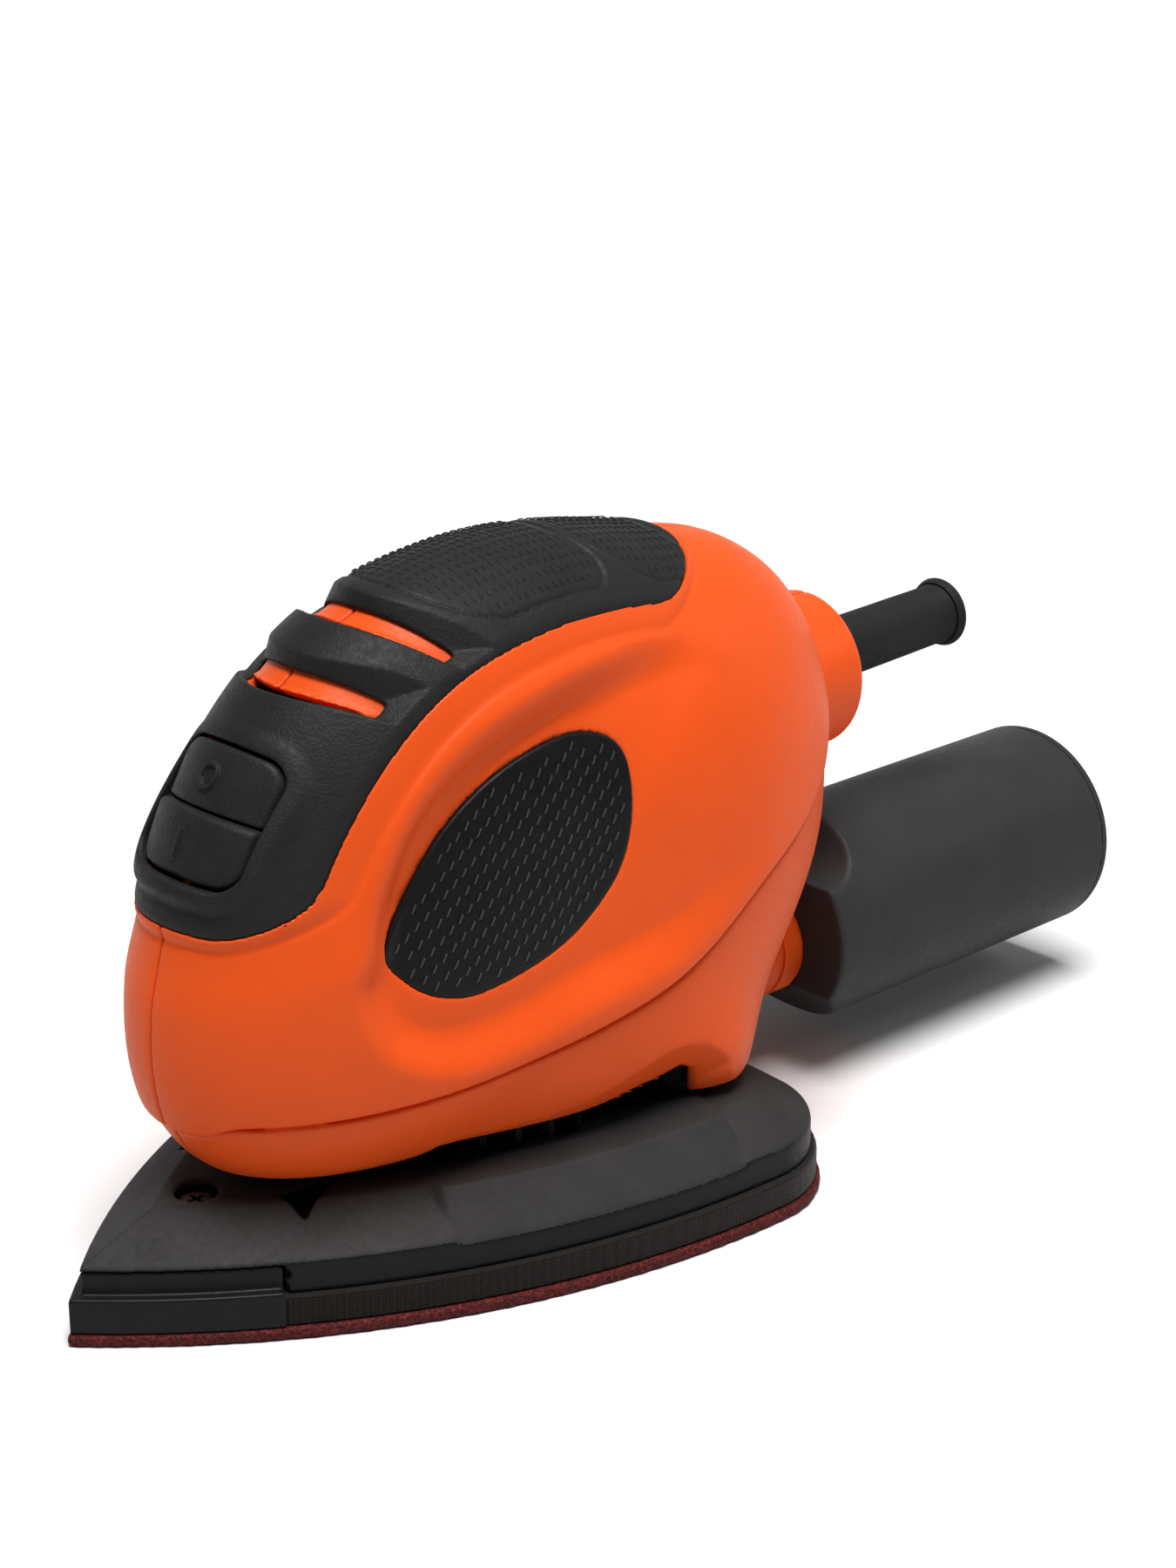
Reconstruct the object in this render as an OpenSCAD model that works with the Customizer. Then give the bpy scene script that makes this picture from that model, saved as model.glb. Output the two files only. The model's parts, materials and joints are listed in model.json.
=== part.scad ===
// Detail mouse sander: iron-shaped orbital sander with a dust canister.
// Origin on the sanding face, under the motor axis. +X to the rear, tip towards -X, +Z up.

/* [Sanding base] */
// Length of the iron-shaped sanding sheet
sheet_len = 140; // [138:1:142]
// Distance from the tip to the motor axis
tip_reach = 85; // [84:1:86]
// Thickness of the sanding sheet
sheet_t = 2.2; // [1.8:0.1:2.4]
// Top level of the hook pad
pad_top = 7.5; // [7:0.1:8]
// Top level of the platen's rim
rim_top = 13.25; // [13:0.05:13.5]
// Top level of the platen
platen_top = 19; // [18.5:0.1:19.2]

/* [Housing] */
// Wall thickness of the housing halves
wall = 3.2; // [3:0.1:3.4]
// Thickness of the soft cap on top
cap_t = 1.6; // [1.4:0.1:1.8]
// Half width of the soft cap
cap_half_w = 21; // [20:0.5:21.5]
// Lowest level of the housing
skirt_z = 20.5; // [20.2:0.1:21]

/* [Drive] */
// Offset of the eccentric pin, half the orbit's diameter
orbit_r = 1; // [0.8:0.1:1.2]
// Outer radius of the motor can
can_r = 18.5; // [18:0.1:19]
// Radius of the dust fan
fan_r = 28.5; // [28:0.25:28.5]
// Running clearance of round fits, on the radius
run_gap = 0.05; // [0.02:0.01:0.08]

/* [Dust canister] */
// Outer radius of the canister
canister_r = 21.25; // [21:0.05:21.5]
// Height of the canister's axis
canister_z = 28.4; // [28:0.1:29]
// Rear end of the canister
canister_end = 159.4; // [158:0.2:160]
// Height of the dust port's axis
port_z = 25.7; // [25.5:0.1:26]
// Outer radius of the dust port
port_r = 10.9; // [10.6:0.1:11]

/* [Cord inlet] */
// Height of the cord boss
boss_z = 78.6; // [78:0.1:79]
// Outer radius of the cord sleeve
sleeve_r = 6; // [5.8:0.1:6.2]
// Radius of the hole for the cord
cord_r = 3.3; // [3:0.1:3.5]

/* [Hidden] */
$fn = 72;
eps = 0.01;

// Sanding outline: two long side arcs that meet at the tip, rounded rear corners, bowed rear edge
side_arc_r = 165;
widest_at = 118;
half_width = 50.5;
corner_r = 19;
rear_arc_r = 330;
outline_rear = sheet_len - tip_reach;

// Housing shape: a lens whose side outline is given by radii about (hub_x, hub_z)
hub_x = 2;
hub_z = 62;
outline_step = 30;
// One radius every outline_step degrees, from the rear over the top to the nose and under
outline_radii = [78, 80, 63.5, 57.5, 58.5, 61, 67, 72.5, 58.5, 63, 77, 70.5];
lens_half_w = 37.2;
angle_cells = 60;
depth_cells = 12;

// Cap outline along the housing's ridge
cap_front = 175;
cap_rear = 51;
cap_corner = 12;
// Vent slots: [middle angle, end angle, half width, slot height in degrees]
vents = [[134, 130, 16, 5], [118.5, 113, 17, 5]];
// Switch window, in ridge angles
switch_top = 147;
switch_low = 167.5;
switch_half_w = 12.5;
switch_gap = 0.9;
rocker_room = 1.8;
rocker_lip = 0.5;
rocker_depth = 5.5;
rocker_x = -44.5;
rocker_z = 81;
rocker_hub_r = 3.6;
rocker_hub_half = 7;
rocker_pin_r = 1.5;

// Side grip outline [x, z]; a closed smooth curve runs through these points
insert_t = 1.4;
insert_points = [[-37.5, 63], [-34, 57], [-28, 53.7], [-20, 53.5], [-5, 58], [5.5, 65.5], [10.5, 74],
    [12, 85], [8.5, 90], [0, 91], [-13, 87.7], [-24, 80.8], [-33, 70.5]];

// Screws that hold the halves together [x, z]
housing_screw_at = [[-52, 37], [-47, 64], [52, 44], [56, 97], [12, 103]];
screw_shank_r = 1.6;
screw_head_r = 3.2;
boss_r = 4.2;

// Motor levels
shaft_r = 2.5;
can_low = 42;
can_high = 84;
can_wall = 1.2;
core_r = 13.6;
core_low = 48;
core_high = 76;
lower_bearing = [2.5, 8, 5];
lower_bearing_z = 35;
upper_bearing = [2.5, 6.5, 4];
upper_bearing_z = 92;
shaft_low = 21.6;
shaft_high = 98;

// Eccentric drive
pin_r = 4;
pin_bearing = [4, 11, 7];
pin_bearing_z = 10.5;
fan_low = 20.3;
fan_plate_low = 25.1;
fan_plate_t = 1.4;
fan_hub_r = 8;
blade_count = 28;
shroud_low = 30.5;
shroud_t = 2.5;
socket_low = 29;

// Flexible posts [x, y]
post_front = [-32.5, 9];
post_rear = [27, 26];
post_r = 4;
post_low = 10;
post_foot = 15;
post_neck = 24;
post_high = 33;
// Room around a bent post above its foot, and around the dust port, for the orbit
post_room = 0.9;
port_room = 2.4;

// Tip block and its screw
tip_joint = -57.6;
tip_half_w = 22;
tip_vertex = -46;
tip_joint_gap = 0.15;
tip_screw_x = -59;
extraction_holes = [[-20, 15], [0, 24.5], [20, 15]];
extraction_r = 3.5;

// Cord boss and sleeve
boss_outer_r = 15.1;
boss_from = 62;
boss_end = 88;
sleeve_from = 66;
sleeve_end = 128;
sleeve_groove = 72;
sleeve_flange_r = 6.9;
sleeve_tilt = 2.4;
clamp_x = 57.5;
clamp_mid = 78.6;
clamp_gap = 6.6;
clamp_t = 3;
clamp_screw_y = 7.5;

// Dust port and canister
port_from = 36;
port_end = 85;
port_wall = 1.7;
neck_x = 77;
shoulder_x = 88.5;
canister_wall = 1.8;
cap_plate = 2;
lid_from = canister_end - cap_plate;
filter_r = 10;
filter_from = 98;

orange = [0.86, 0.27, 0.06];
dark = [0.13, 0.13, 0.13];
black = [0.07, 0.07, 0.07];
steel = [0.7, 0.7, 0.72];
copper = [0.72, 0.4, 0.2];

// ---------- Sanding outline ----------

side_centre = [widest_at - tip_reach, half_width - side_arc_r];
rear_centre = [outline_rear - rear_arc_r, 0];

// Where two circles about p and q, of radii a and b, cross, on the +Y side
function crossing(p, q, a, b) = let (d = norm(q - p), u = (q - p) / d,
    along = (a * a - b * b + d * d) / (2 * d), off = sqrt(a * a - along * along))
    p + u * along + [-u[1], u[0]] * off;

corner_centre = crossing(rear_centre, side_centre, rear_arc_r - corner_r, side_arc_r - corner_r);
toward_side = (corner_centre - side_centre) / norm(corner_centre - side_centre);
toward_rear = (corner_centre - rear_centre) / norm(corner_centre - rear_centre);

module iron_outline(inset) {
    intersection() {
        translate(side_centre) circle(side_arc_r - inset, $fn = 360);
        mirror([0, 1]) translate(side_centre) circle(side_arc_r - inset, $fn = 360);
        translate(rear_centre) circle(rear_arc_r - inset, $fn = 360);
        union() for (side = [0, 1]) mirror([0, side]) {
            translate(corner_centre) circle(corner_r - inset);
            before_corner(inset);
        }
    }
}

// The half plane ahead of the chord between the corner arc's two ends
module before_corner(inset) {
    on_side = side_centre + toward_side * (side_arc_r - inset);
    on_rear = rear_centre + toward_rear * (rear_arc_r - inset);
    beyond = on_side + (on_side - on_rear) * 4;
    polygon([[-200, -1], [on_rear[0], -1], on_rear, beyond, [-200, beyond[1]]]);
}

module slab(inset, low, high) {
    translate([0, 0, low]) linear_extrude(high - low) iron_outline(inset);
}

// ---------- Housing surface ----------

function wrap(i) = (i + 120) % len(outline_radii);

function catmull(p, f) = 0.5 * (2 * p[1] + (p[2] - p[0]) * f
    + (2 * p[0] - 5 * p[1] + 4 * p[2] - p[3]) * f * f
    + (3 * p[1] - p[0] - 3 * p[2] + p[3]) * f * f * f);

function ridge_r(a) = let (k = a / outline_step, i = floor(k))
    catmull([for (j = [-1:2]) outline_radii[wrap(i + j)]], k - i);

function half_w(x, z) = let (u = (x - hub_x) / 50, v = (z - hub_z) / 50)
    lens_half_w + 3.7 * u - 2.3 * v - 0.35 * u * u - v * v;

function lens_x(a, s, inset) = hub_x + (ridge_r(a) - inset) * s * cos(a);
function lens_z(a, s, inset) = hub_z + (ridge_r(a) - inset) * s * sin(a);
function lens_p(a) = 2.4 - 0.3 * sin(a);
lens_q = 2.15;

// Side offset of the lens at ridge angle a and a share s of the ridge radius
function lens_y(a, s, inset) = (half_w(lens_x(a, s, inset), lens_z(a, s, inset)) - inset)
    * pow(max(0, 1 - pow(s, lens_p(a))), 1 / lens_q);

// Share s at which the lens is y wide, by repeated substitution
function share_at(a, y, inset, s = 0.9, turn = 0) = turn == 4 ? s :
    share_at(a, y, inset, pow(1 - pow(min(0.98, abs(y)
    / (half_w(lens_x(a, s, inset), lens_z(a, s, inset)) - inset)), lens_q), 1 / lens_p(a)), turn + 1);

// Side offset of the lens above a point of the side view
function side_of(x, z, inset) = let (a = (atan2(z - hub_z, x - hub_x) + 360) % 360,
    s = norm([x - hub_x, z - hub_z]) / (ridge_r(a) - inset)) lens_y(a, s, inset);

function ring_point(a, t, inset) = let (s = sin(t))
    [lens_x(a, s, inset), -lens_y(a, t == 90 ? 1 : s, inset), lens_z(a, s, inset)];

// Closed grid faces between successive rings of equal size
function strip_faces(from, to, size) = [for (i = [0:size - 1]) let (j = (i + 1) % size)
    each [[from + i, to + i, to + j], [from + i, to + j, from + j]]];

function dome_points(inset) = concat([[hub_x, -lens_y(0, 0, inset), hub_z]],
    [for (k = [1:depth_cells], i = [0:angle_cells - 1])
        ring_point(i * 360 / angle_cells, k * 90 / depth_cells, inset)]);

function dome_faces(base) = concat(
    [for (i = [0:angle_cells - 1]) [base, base + 1 + i, base + 1 + (i + 1) % angle_cells]],
    [for (k = [0:depth_cells - 2])
        each strip_faces(base + 1 + k * angle_cells, base + 1 + (k + 1) * angle_cells, angle_cells)]);

function reversed(faces) = [for (f = faces) [f[0], f[2], f[1]]];

// One half of the hollow lens, on the -Y side, with its rim on the plane Y = 0
module half_shell(outer, inner) {
    count = 1 + depth_cells * angle_cells;
    last = 1 + (depth_cells - 1) * angle_cells;
    polyhedron(points = concat(dome_points(outer), dome_points(inner)),
        faces = concat(reversed(dome_faces(0)), dome_faces(count),
            reversed(strip_faces(last, count + last, angle_cells))));
}

function span(low, high, count) = [for (i = [0:count]) low + (high - low) * i / count];

// Block that follows the lens between two insets, over ridge angles and side offsets
module ridge_block(angles, widths, outer, inner, cells = 8) {
    rows = len(angles);
    width = cells + 1;
    function layer(inset) = [for (r = [0:rows - 1], y = span(-widths[r], widths[r], cells))
        let (a = angles[r], s = share_at(a, y, 0), over = inset)
        [lens_x(a, s, 0) - over * cos(a), y, lens_z(a, s, 0) - over * sin(a)]];
    size = rows * width;
    sheet = [for (r = [0:rows - 2], c = [0:cells - 1]) let (i = r * width + c)
        each [[i, i + 1, i + width + 1], [i, i + width + 1, i + width]]];
    rim = concat([for (c = [0:cells - 1]) c],
        [for (r = [0:rows - 2]) r * width + cells],
        [for (c = [cells:-1:1]) (rows - 1) * width + c],
        [for (r = [rows - 1:-1:1]) r * width]);
    sides = [for (i = [0:len(rim) - 1]) let (p = rim[i], q = rim[(i + 1) % len(rim)])
        each [[p, p + size, q + size], [p, q + size, q]]];
    polyhedron(points = concat(layer(outer), layer(inner)),
        faces = concat(sheet, [for (f = reversed(sheet)) f + [size, size, size]], sides));
}

// Half width of the cap at a ridge angle, rounded at both ends; grow widens it evenly
function cap_half_at(a, grow) = let (from_front = (cap_front - a) * 1.08, from_rear = (a - cap_rear) * 1.02,
    near = max(0, cap_corner - min(from_front, from_rear)))
    cap_half_w + grow - cap_corner + sqrt(max(0, pow(cap_corner, 2) - near * near));

module cap_block(outer, inner, grow) {
    angles = [for (a = span(cap_front + grow, cap_rear - grow, 40)) a];
    ridge_block(angles, [for (a = angles) cap_half_at(min(cap_front, max(cap_rear, a)), grow)],
        outer, inner, 12);
}

// Vent slot cutter: a crescent across the ridge
module vent_cutter(vent, grow, outer, inner) {
    rows = 4;
    cells = 10;
    function mid(y) = vent[0] + (vent[1] - vent[0]) * pow(y / vent[2], 2);
    half = vent[3] / 2 + grow;
    layer = function (inset) [for (r = span(-1, 1, rows), y = span(-vent[2] - grow, vent[2] + grow, cells))
        let (close = 1 - 0.75 * pow(abs(y) / (vent[2] + grow), 4), a = mid(y) + r * half * close,
            s = share_at(a, y, 0))
        [lens_x(a, s, 0) - inset * cos(a), y, lens_z(a, s, 0) - inset * sin(a)]];
    width = cells + 1;
    size = (rows + 1) * width;
    sheet = [for (r = [0:rows - 1], c = [0:cells - 1]) let (i = r * width + c)
        each [[i, i + width + 1, i + 1], [i, i + width, i + width + 1]]];
    rim = concat([for (c = [0:cells - 1]) c], [for (r = [0:rows - 1]) r * width + cells],
        [for (c = [cells:-1:1]) rows * width + c], [for (r = [rows:-1:1]) r * width]);
    sides = [for (i = [0:len(rim) - 1]) let (p = rim[i], q = rim[(i + 1) % len(rim)])
        each [[p, q + size, p + size], [p, q, q + size]]];
    polyhedron(points = concat(layer(outer), layer(inner)),
        faces = concat(sheet, [for (f = reversed(sheet)) f + [size, size, size]], sides));
}

// ---------- Side grip ----------

// Closed smooth curve through the points
function smooth_loop(points, cells) = let (n = len(points)) [for (i = [0:n - 1], k = [0:cells - 1])
    catmull([for (j = [-1:2]) points[(i + j + n) % n]], k / cells)];

insert_hub = [-12, 73];

// Block on the -Y flank between two insets, inside a grown side grip outline
module flank_block(outer, inner, grow) {
    edge = [for (p = smooth_loop(insert_points, 3)) let (d = p - insert_hub)
        insert_hub + d * (1 + grow / norm(d))];
    size = len(edge);
    rings = 4;
    function layer(inset) = concat(
        [[insert_hub[0], inset - side_of(insert_hub[0], insert_hub[1], 0), insert_hub[1]]],
        [for (r = [1:rings], p = edge) let (q = insert_hub + (p - insert_hub) * r / rings)
            [q[0], inset - side_of(q[0], q[1], 0), q[1]]]);
    count = 1 + rings * size;
    sheet = concat([for (i = [0:size - 1]) [0, 1 + i, 1 + (i + 1) % size]],
        [for (r = [0:rings - 2]) each strip_faces(1 + r * size, 1 + (r + 1) * size, size)]);
    last = 1 + (rings - 1) * size;
    polyhedron(points = concat(layer(outer), layer(inner)),
        faces = concat(reversed(sheet), [for (f = sheet) f + [count, count, count]],
            reversed(strip_faces(last, count + last, size))));
}

// ---------- Housing halves ----------

// Everything under the housing's lower edge, in the side view
module below_skirt() {
    arch = 24;
    rotate([90, 0, 0]) linear_extrude(200, center = true)
        polygon([[-100, -60], [-100, skirt_z], [-31, skirt_z], [-26, arch], [17, arch], [20, arch + 3],
            [23, arch + 2], [25, skirt_z], [100, skirt_z], [100, -60]]);
}

// How far out a boss may reach before its rim comes through the housing
function boss_reach(p) = min([for (k = [0:45:315])
    side_of(p[0] + boss_r * cos(k), p[1] + boss_r * sin(k), 0)]) - 1;

module screw_line(p, r, from, to) {
    translate([p[0], to, p[1]]) rotate([90, 0, 0]) cylinder(r = r, h = to - from);
}

module cord_boss_solid() {
    bevel = 2;
    bevel_from = boss_end - 3;
    along_x(boss_from, bevel_from, boss_outer_r, boss_z);
    translate([bevel_from, 0, boss_z]) rotate([0, 90, 0])
        cylinder(r1 = boss_outer_r, r2 = boss_outer_r - bevel, h = boss_end - bevel_from);
}

module sleeve_axis() {
    translate([sleeve_from, 0, 79]) rotate([0, 90 - sleeve_tilt, 0]) children();
}

module cord_hole() {
    sleeve_axis() {
        translate([0, 0, -10]) cylinder(r = cord_r + 1.2, h = 40);
        translate([0, 0, -eps]) cylinder(r = sleeve_r + 1.4, h = sleeve_groove - sleeve_from + 4);
        cylinder(r = sleeve_r + 0.2, h = 60);
    }
}

module port_hole() {
    translate([port_from - 2, 0, port_z]) rotate([0, 90, 0]) cylinder(r = port_r + 0.05, h = 60);
}

// Ribs in each half that hold the motor can
module motor_ribs() {
    rib_half = 13;
    rib_t = 3;
    for (z = [52, 70]) translate([0, 0, z]) difference() {
        reach = min(side_of(rib_half, z, 0), side_of(-rib_half, z, 0)) - 1.2;
        translate([-rib_half, -reach, 0]) cube([2 * rib_half, reach, rib_t]);
        translate([0, 0, -1]) cylinder(r = can_r, h = rib_t + 2);
    }
}

// The left half, without what its own side adds
module housing_half() {
    difference() {
        union() {
            half_shell(0, wall);
            difference() {
                intersection() {
                    cord_boss_solid();
                    translate([0, -50, 0]) cube([200, 50, 200]);
                }
                translate([60, -25, 50]) cube([13, 26, 60]);
            }
            motor_ribs();
            for (p = housing_screw_at)
                screw_line(p, boss_r, -boss_reach(p), 0);
        }
        below_skirt();
        cord_hole();
        port_hole();
        cap_block(-2, cap_t + 0.1, 0.2);
        flank_block(-3, insert_t + 0.1, 0.15);
        for (v = vents) vent_cutter(v, -1, -1, wall + 2);
        switch_window(rocker_room);
    }
}

// Opening for the rocker, longer at its low end by low_room, where the rocker swings out
module switch_window(low_room) {
    top = switch_top - switch_gap;
    low = switch_low + switch_gap + low_room;
    ridge_block(span(low, top, 4), [for (i = [0:4]) switch_half_w + switch_gap], -3, wall + 3, 4);
}

module housing_left() {
    color(orange) difference() {
        housing_half();
        for (p = housing_screw_at) screw_line(p, screw_shank_r, -14, 1);
    }
}

module housing_right() {
    color(orange) mirror([0, 1, 0]) difference() {
        housing_half();
        for (p = housing_screw_at) {
            screw_line(p, screw_shank_r + 0.4, -60, 1);
            screw_line(p, screw_head_r + 0.3, -60, -9);
        }
    }
}

module housing_screws() {
    color(steel) for (p = housing_screw_at) difference() {
        union() {
            screw_line(p, screw_shank_r, -13, 9.02);
            screw_line(p, screw_head_r, 9, 11.5);
        }
        screw_line(p, 1.2, 10, 12);
    }
}

module top_grip() {
    color(black) difference() {
        cap_block(0, cap_t, 0);
        for (v = vents) vent_cutter(v, 0, -1, cap_t + 2);
        switch_window(rocker_lip);
    }
}

module grip_insert_left() {
    color(black) flank_block(0, insert_t, 0);
}

module grip_insert_right() {
    mirror([0, 1, 0]) grip_insert_left();
}

// ---------- Switch ----------

module at_rocker() {
    translate([rocker_x, 0, rocker_z]) rotate([90, 0, 0]) children();
}

module switch_rocker() {
    web = [9, 2 * rocker_hub_half, 4];
    color(black) difference() {
        union() {
            ridge_block(span(switch_low - 0.2, switch_top + 0.2, 6), [for (i = [0:6]) switch_half_w - 0.2],
                0.2, rocker_depth, 6);
            at_rocker() cylinder(r = rocker_hub_r, h = 2 * rocker_hub_half, center = true);
            translate([rocker_x - web[0], -web[1] / 2, rocker_z - web[2] / 2]) cube(web);
        }
        at_rocker() cylinder(r = rocker_pin_r + run_gap, h = 60, center = true);
    }
}

module rocker_pin() {
    color(steel) at_rocker() cylinder(r = rocker_pin_r, h = 22, center = true);
}

// Snap-in switch body with two cheeks that carry the rocker's pin
module switch_block() {
    cheek = 2.6;
    color(dark) difference() {
        union() {
            translate([-37, -9, 72]) cube([17, 18, 17]);
            for (y = [-rocker_hub_half - 0.4 - cheek, rocker_hub_half + 0.4])
                translate([-47, y, 77.5]) cube([11, cheek, 7]);
        }
        at_rocker() cylinder(r = rocker_pin_r, h = 60, center = true);
    }
}

// ---------- Electrics at the rear ----------

module circuit_board() {
    color([0.1, 0.35, 0.2]) translate([22, -13, 92]) cube([28, 26, 1.6]);
    color([0.1, 0.35, 0.2]) for (y = [-8, 8]) translate([30, y, 93.6]) cylinder(r = 2.2, h = 6);
}

module capacitor() {
    color([0.75, 0.6, 0.15]) translate([39, -6, 93.6]) cube([7, 12, 9]);
}

// Two bars that grip the cord behind its sleeve
module cord_clamp() {
    color(dark) for (z = [clamp_mid - clamp_gap / 2 - clamp_t, clamp_mid + clamp_gap / 2]) difference() {
        translate([clamp_x - 4.5, -11, z]) cube([9, 22, clamp_t]);
        for (y = [-clamp_screw_y, clamp_screw_y])
            translate([clamp_x, y, z - 1]) cylinder(r = 1.5, h = clamp_t + 2);
    }
}

module clamp_screws() {
    top = clamp_mid + clamp_gap / 2 + clamp_t;
    color(steel) for (y = [-clamp_screw_y, clamp_screw_y]) translate([clamp_x, y, top]) {
        translate([0, 0, -15]) cylinder(r = 1.5, h = 15);
        cylinder(r = 2.8, h = 2);
    }
}

module cord_sleeve() {
    total = (sleeve_end - sleeve_from) / cos(sleeve_tilt);
    color(black) sleeve_axis() difference() {
        union() {
            cylinder(r = sleeve_r + 1.2, h = sleeve_groove - sleeve_from + 2);
            cylinder(r1 = sleeve_r + 0.1, r2 = sleeve_r - 0.2, h = total - 1);
            translate([0, 0, total - 2.5]) cylinder(r = sleeve_flange_r, h = 2);
        }
        translate([0, 0, -1]) cylinder(r = cord_r, h = total + 2);
    }
}

// ---------- Motor ----------

module ring(outer, inner, low, high) {
    translate([0, 0, low]) difference() {
        cylinder(r = outer, h = high - low);
        translate([0, 0, -1]) cylinder(r = inner, h = high - low + 2);
    }
}

module bearing_outer(dims, low) {
    mid = (dims[0] + dims[1]) / 2;
    ring(dims[1], mid + run_gap / 2, low, low + dims[2]);
}

module bearing_inner(dims, low) {
    mid = (dims[0] + dims[1]) / 2;
    ring(mid - run_gap / 2, dims[0], low, low + dims[2]);
}

module motor_can() {
    color([0.45, 0.46, 0.48]) {
        ring(can_r, can_r - can_wall, can_low, can_high);
        ring(can_r - can_wall + eps, 6, can_low, can_low + can_wall);
    }
}

module magnets() {
    color([0.25, 0.25, 0.27]) difference() {
        ring(can_r - can_wall, core_r + 0.6, core_low - 1, core_high + 2);
        translate([-5, -30, 0]) cube([10, 60, 120]);
    }
}

// Insulating cap with brush windows and two towers that carry the upper bearing
module motor_end_cap() {
    plate_top = can_high + 3;
    seat_top = upper_bearing_z + upper_bearing[2];
    color([0.9, 0.88, 0.8]) {
        difference() {
            ring(can_r, 8, can_high, plate_top);
            for (side = [-1, 1]) translate([side * 12 - 5, -3.5, can_high - 1]) cube([10, 7, 6]);
        }
        ring(10, upper_bearing[1], upper_bearing_z - 1, seat_top);
        for (y = [-12, 9]) translate([-2, y, plate_top - eps]) cube([4, 3, seat_top - plate_top + eps]);
    }
}

module brush_holders() {
    color([0.8, 0.65, 0.3]) for (side = [-1, 1]) translate([side * 12, 0, can_high + 0.7]) difference() {
        translate([-5, -3.3, -0.5]) cube([10, 6.6, 6]);
        translate([-6, -2.5, 0.3]) cube([12, 5, 4.4]);
    }
}

module brushes() {
    color([0.15, 0.15, 0.16]) for (side = [-1, 1]) translate([side * 9.2, 0, can_high + 3.2])
        cube([7, 4.9, 4.2], center = true);
}

module brush_springs() {
    color(steel) for (side = [-1, 1])
        translate([side * 12.7, 0, can_high + 3.2]) rotate([0, side * 90, 0]) difference() {
            cylinder(r = 1.9, h = 4);
            translate([0, 0, -1]) cylinder(r = 1.2, h = 6);
        }
}

module upper_bearing_outer() {
    color(steel) bearing_outer(upper_bearing, upper_bearing_z);
}

module lower_bearing_outer() {
    color(steel) bearing_outer(lower_bearing, lower_bearing_z);
}

module upper_bearing_inner() {
    color(steel) bearing_inner(upper_bearing, upper_bearing_z);
}

module lower_bearing_inner() {
    color(steel) bearing_inner(lower_bearing, lower_bearing_z);
}

module motor_shaft() {
    color(steel) translate([0, 0, shaft_low]) cylinder(r = shaft_r, h = shaft_high - shaft_low);
}

module armature_core() {
    color([0.5, 0.5, 0.52]) difference() {
        ring(core_r, shaft_r, core_low, core_high);
        for (i = [0:4]) rotate([0, 0, i * 72]) translate([9.5, 0, core_low - 1]) {
            cylinder(r = 2.9, h = 40);
            translate([0, -0.9, 0]) cube([6, 1.8, 40]);
        }
    }
}

module windings() {
    color(copper) {
        ring(11.5, 5, core_high, core_high + 5);
        ring(11.5, 5, core_low - 3.5, core_low);
        for (i = [0:4]) rotate([0, 0, i * 72]) translate([9.5, 0, core_low - 1])
            cylinder(r = 2.2, h = core_high - core_low + 2);
    }
}

module commutator() {
    color(copper) difference() {
        ring(5.5, shaft_r, core_high + 5.2, 91);
        for (i = [0:9]) rotate([0, 0, i * 36]) translate([5, -0.2, core_high]) cube([2, 0.4, 40]);
    }
}

// ---------- Fan chamber ----------

// Plate over the fan that carries the lower bearing and the posts' upper sockets
module fan_shroud() {
    bearing_r = lower_bearing[1];
    color(dark) difference() {
        union() {
            translate([0, 0, shroud_low]) linear_extrude(shroud_t)
                polygon([[-46, -15], [-46, 15], [16, 31.5], [31, 31.5], [31, -31.5], [16, -31.5]]);
            translate([0, 0, shroud_low])
                cylinder(r = bearing_r + 3, h = lower_bearing_z + lower_bearing[2] - shroud_low);
            at_posts(0) translate([0, 0, socket_low])
                cylinder(r = post_r + 2, h = post_high + 2 - socket_low);
        }
        translate([0, 0, lower_bearing_z]) cylinder(r = bearing_r, h = 20);
        cylinder(r = bearing_r - 2.5, h = 60);
        at_posts(0) translate([0, 0, socket_low - 1])
            cylinder(r = post_r + run_gap, h = post_high + 1 - socket_low);
    }
}

// Extraction fan: blades under a back plate, so that it draws dust up through the platen
module dust_fan() {
    blade_h = fan_plate_low - fan_low;
    color([0.1, 0.1, 0.1]) {
        ring(fan_r, fan_hub_r - eps, fan_plate_low, fan_plate_low + fan_plate_t);
        ring(fan_hub_r, shaft_r, shaft_low + 0.1, fan_plate_low + fan_plate_t + 2);
        for (i = [0:blade_count - 1]) rotate([0, 0, i * 360 / blade_count])
            translate([18, -0.6, fan_low]) rotate([0, 0, 12]) cube([fan_r - 18.3, 1.2, blade_h + eps]);
    }
}

// Crescent weight that balances the platen's orbit
module counterweight() {
    low = fan_plate_low + fan_plate_t;
    color([0.55, 0.45, 0.2]) difference() {
        ring(18, fan_hub_r + 0.1, low, low + 3);
        translate([-3, -30, 0]) cube([60, 60, 60]);
    }
}

// Flange on the motor's axis with the offset pin under it
module eccentric_pin() {
    color(steel) {
        translate([0, 0, fan_low]) cylinder(r = 6, h = shaft_low - fan_low);
        at_pin() translate([0, 0, pin_bearing_z]) cylinder(r = pin_r, h = fan_low - pin_bearing_z);
        at_pin() translate([0, 0, pin_bearing_z - 1]) cylinder(r = pin_r + 1, h = 1);
    }
}

// ---------- Platen ----------

module at_pin() {
    translate([orbit_r, 0, 0]) children();
}

module pin_bearing_inner() {
    color(steel) at_pin() bearing_inner(pin_bearing, pin_bearing_z);
}

module pin_bearing_outer() {
    color(steel) at_pin() bearing_outer(pin_bearing, pin_bearing_z);
}

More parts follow.
